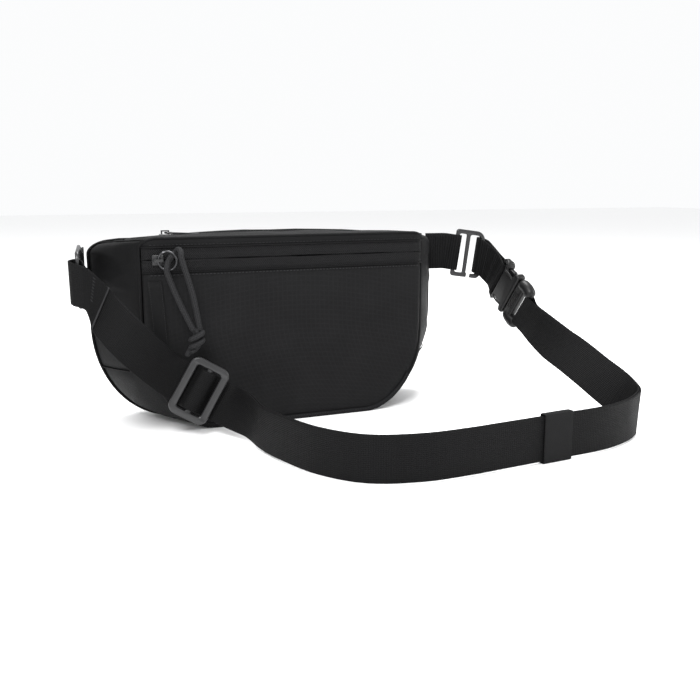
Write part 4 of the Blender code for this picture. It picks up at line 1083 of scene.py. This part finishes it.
SLOT_HALF = 0.0208           # half the length of every opening that takes the webbing
HOOK = rounded([(0, -0.0255, 0.003), (0.0184, -0.0255, 0.0012), (0.0181, -0.0208, 0.0006),
                (0.0172, -0.0203, 0.001), (0.0166, SLOT_HALF, 0.0022), (0.0288, SLOT_HALF, 0.0045),
                (0.0288, -SLOT_HALF, 0.0040), (0.0222, -SLOT_HALF, 0.0010), (0.0218, -0.0255, 0.0012),
                (0.0335, -0.0255, 0.0095), (0.0335, 0.0255, 0.0098), (0, 0.0255, 0.003)])
HOOK_SLOT = rounded([(0.0045, -SLOT_HALF, 0.0016), (0.0130, -SLOT_HALF, 0.0016),
                     (0.0122, SLOT_HALF, 0.0016), (0.0045, SLOT_HALF, 0.0016)])
for side, at, along, up in (
        ("left", (-0.18705, -0.01455, 0.14519), (-0.1549, -0.9781, -0.1392), (-0.0218, -0.1375, 0.9903)),
        ("right", (0.20571, 0.01018, 0.15019), (0.9649, -0.2228, -0.1392), (0.1356, -0.0313, 0.9903))):
    base = axes(at, along, up) @ Matrix.Translation((-0.00225, 0, 0))
    made = moulded("belt_hook_" + side, [HOOK, HOOK_SLOT], 0.0030, 0.0012, base, None, 4)
    place(made, "metal", "hook_" + side, "hook_" + side)

glide = axes((-0.09679, -0.06778, 0.0415), (0.8341, -0.241, -0.4961), (0.5126, 0.0067, 0.8586))
GLIDE_HALF, RAIL = 0.0188, 0.0070
glide_face = moulded("glide_frame", [rect(-GLIDE_HALF, GLIDE_HALF, 0.0276, 0.0080),
                                     rect(-GLIDE_HALF + RAIL, -0.00225, SLOT_HALF, 0.0016),
                                     rect(0.00225, GLIDE_HALF - RAIL, SLOT_HALF, 0.0024)], 0.0036, 0.0014, glide,
                     lambda p: Vector((p.x, p.y, p.z + (0.0004 if abs(p.y) > 0.0215 else 0.0))), 4)
place(glide_face, "metal", "pack", "tri_glide")

keeper = axes((0.155, -0.25, 0.0208), (0.9964, 0.0849, 0), (0, 0, 1))
half_web, half_thick, wall = WEB / 2 + 0.0008, 0.0026, 0.0010
high_edge, wide_edge = half_web + wall, half_thick + wall
section = rounded([(x * high_edge, y * wide_edge, 0.0016) for x, y in ((-1, -1), (1, -1), (1, 1), (-1, 1))], 4)
turned = keeper.to_3x3()
rim_out = [turned @ Vector((0, y, z)) for y, z in section]
places = []
for k, out in enumerate(rim_out):
    on = (rim_out[(k + 1) % len(rim_out)] - rim_out[k - 1]).normalized()
    normal = on.cross(turned @ X).normalized()
    if normal.dot(out) < 0:
        normal = -normal
    places.append((keeper.translation + out - normal * wall / 2, turned @ X, normal))
place(sweep("keeper_band", places, strip_profile(0.0290, wall), True), "band", "keeper", "keeper")

buckle = axes((0.2430, -0.0480, 0.1075), (0.079, -0.791, -0.607), (0.04, -0.61, 0.79))


def both_sides(half_line):
    return half_line + [(x, -y, r) for x, y, r in reversed(half_line)]


def hollow(obj, size):
    """Open a pocket through the middle of a buckle's piece."""
    tool = bmesh.new()
    bmesh.ops.create_cube(tool, size=1.0, matrix=buckle @ Matrix.Diagonal((*size, 1)))
    mesh = bpy.data.meshes.new("pocket")
    tool.to_mesh(mesh)
    tool.free()
    cutter = bpy.data.objects.new("pocket", mesh)
    bpy.context.scene.collection.objects.link(cutter)
    cut = obj.modifiers.new("pocket", "BOOLEAN")
    cut.operation, cut.solver, cut.object = "DIFFERENCE", "EXACT", cutter
    bpy.context.view_layer.update()
    done = bpy.data.meshes.new_from_object(obj.evaluated_get(bpy.context.evaluated_depsgraph_get()))
    obj.modifiers.clear()
    obj.data = done
    bpy.data.objects.remove(cutter, do_unlink=True)
    return sharp(obj, 32)


def crown(p):
    """Thinner towards the webbing bar and softly domed across."""
    bar = min(1.0, max(0.0, (-0.0225 - p.x) / 0.005))
    dome = 1 - 0.10 * (p.y / 0.024) ** 2
    return Vector((p.x, p.y, p.z * dome * (1 - 0.50 * bar * bar * (3 - 2 * bar))))


female_line = rounded(both_sides([(-0.0330, 0.0250, 0.0045), (-0.0225, 0.0258, 0.0035),
                                  (-0.0195, 0.0172, 0.0050), (-0.0090, 0.0172, 0.0050),
                                  (-0.0068, 0.0256, 0.0026), (0.0, 0.0252, 0.0030)]), 7)
female = moulded("buckle_socket", [female_line, rect(-0.0285, -0.0240, SLOT_HALF, 0.0014)], 0.0122, 0.0028,
                 buckle, crown, 4)
place(hollow(female, (0.0460, 0.0404, 0.0062)), "plastic", "pack", "buckle_female")
for side, sign in (("lower", -1), ("upper", 1)):
    line = [buckle @ Vector((-0.0208 + 0.0132 * k / 12,
                             sign * (0.0176 + 0.0010 * math.sin(math.pi * k / 12)), 0.0056)) for k in range(13)]
    place(tube("window_rim_" + side, line, 0.0009, 8), "plastic", "pack")
male_line = rounded(both_sides([(0.0005, 0.0228, 0.0030), (0.0150, 0.0230, 0.0040), (0.0200, 0.0226, 0.0030),
                                (0.0240, 0.0222, 0.0022)]), 6)
male = moulded("buckle_latch", [male_line, rect(0.0125, 0.0195, 0.0200, 0.0014)], 0.0086, 0.0024, buckle,
               lambda p: Vector((p.x, p.y, p.z * (1 - 0.46 * min(1.0, max(0.0, (p.x - 0.0165) / 0.004))))), 4)
place(male, "plastic", "male", "buckle_male")
for side, sign in (("upper", 1), ("lower", -1)):
    line = [buckle @ Vector((0.0060 + 0.0125 * k / 8, sign * (0.0208 + 0.0010 * math.sin(k * 0.4)), 0))
            for k in range(9)]
    place(tube("latch_shoulder_" + side, line, 0.0060, 24), "plastic", "male")
    prong_line = rounded([(x, sign * y, r) for x, y, r in (
        (-0.0004, 0.0148, 0.001), (-0.0200, 0.0152, 0.0016), (-0.0204, 0.0190, 0.002),
        (-0.0186, 0.0206, 0.002), (-0.0110, 0.0222, 0.0025), (-0.0094, 0.0196, 0.001),
        (-0.0004, 0.0196, 0.001))])
    made = moulded("latch_prong_" + side, [prong_line[::sign]], 0.0048, 0.0009, buckle)
    place(made, "plastic", "prong_" + side, "prong_" + side)
tongue = moulded("latch_tongue", [rect(-0.0160, 0.0020, 0.0045, 0.0015)], 0.0040, 0.0008, buckle)
place(tongue, "plastic", "male")
for k in range(4):
    x = 0.0035 + 0.0022 * k
    line = [buckle @ Vector((x, -0.0105 + 0.021 * i / 6, 0.00435)) for i in range(7)]
    place(tube(f"grip_rib_{k}", line, 0.00045, 6), "plastic", "male")


def pad_surface(u, v):
    """The foam between the pocket and the main compartment."""
    z = 0.008 + 0.156 * v
    low = max(0.0, 1 - z / 0.100)
    half = 0.129 - 0.068 * (1 - math.sqrt(max(0.0, 1 - low * low)))
    return Vector((half * (2 * u - 1), -0.0362, z))


pad_piece = cloth("back_foam", pad_surface, 48, 30, lambda p: (0, -1, 0),
                  lambda u, v, p: 0.0008 * folds(p, 25, 3.0), 0.0022, 0.0008)
place(pad_piece, "foam", "pack", "back_pad")

for node, look in (("rear_slider", "metal"), ("top_slider", "metal"), ("top_pull", "metal"),
                   ("rear_coil_low", "coil"), ("rear_coil_high", "coil")):
    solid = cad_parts[node]
    solid.data.materials.clear()
    solid.data.materials.append(LOOKS[look])
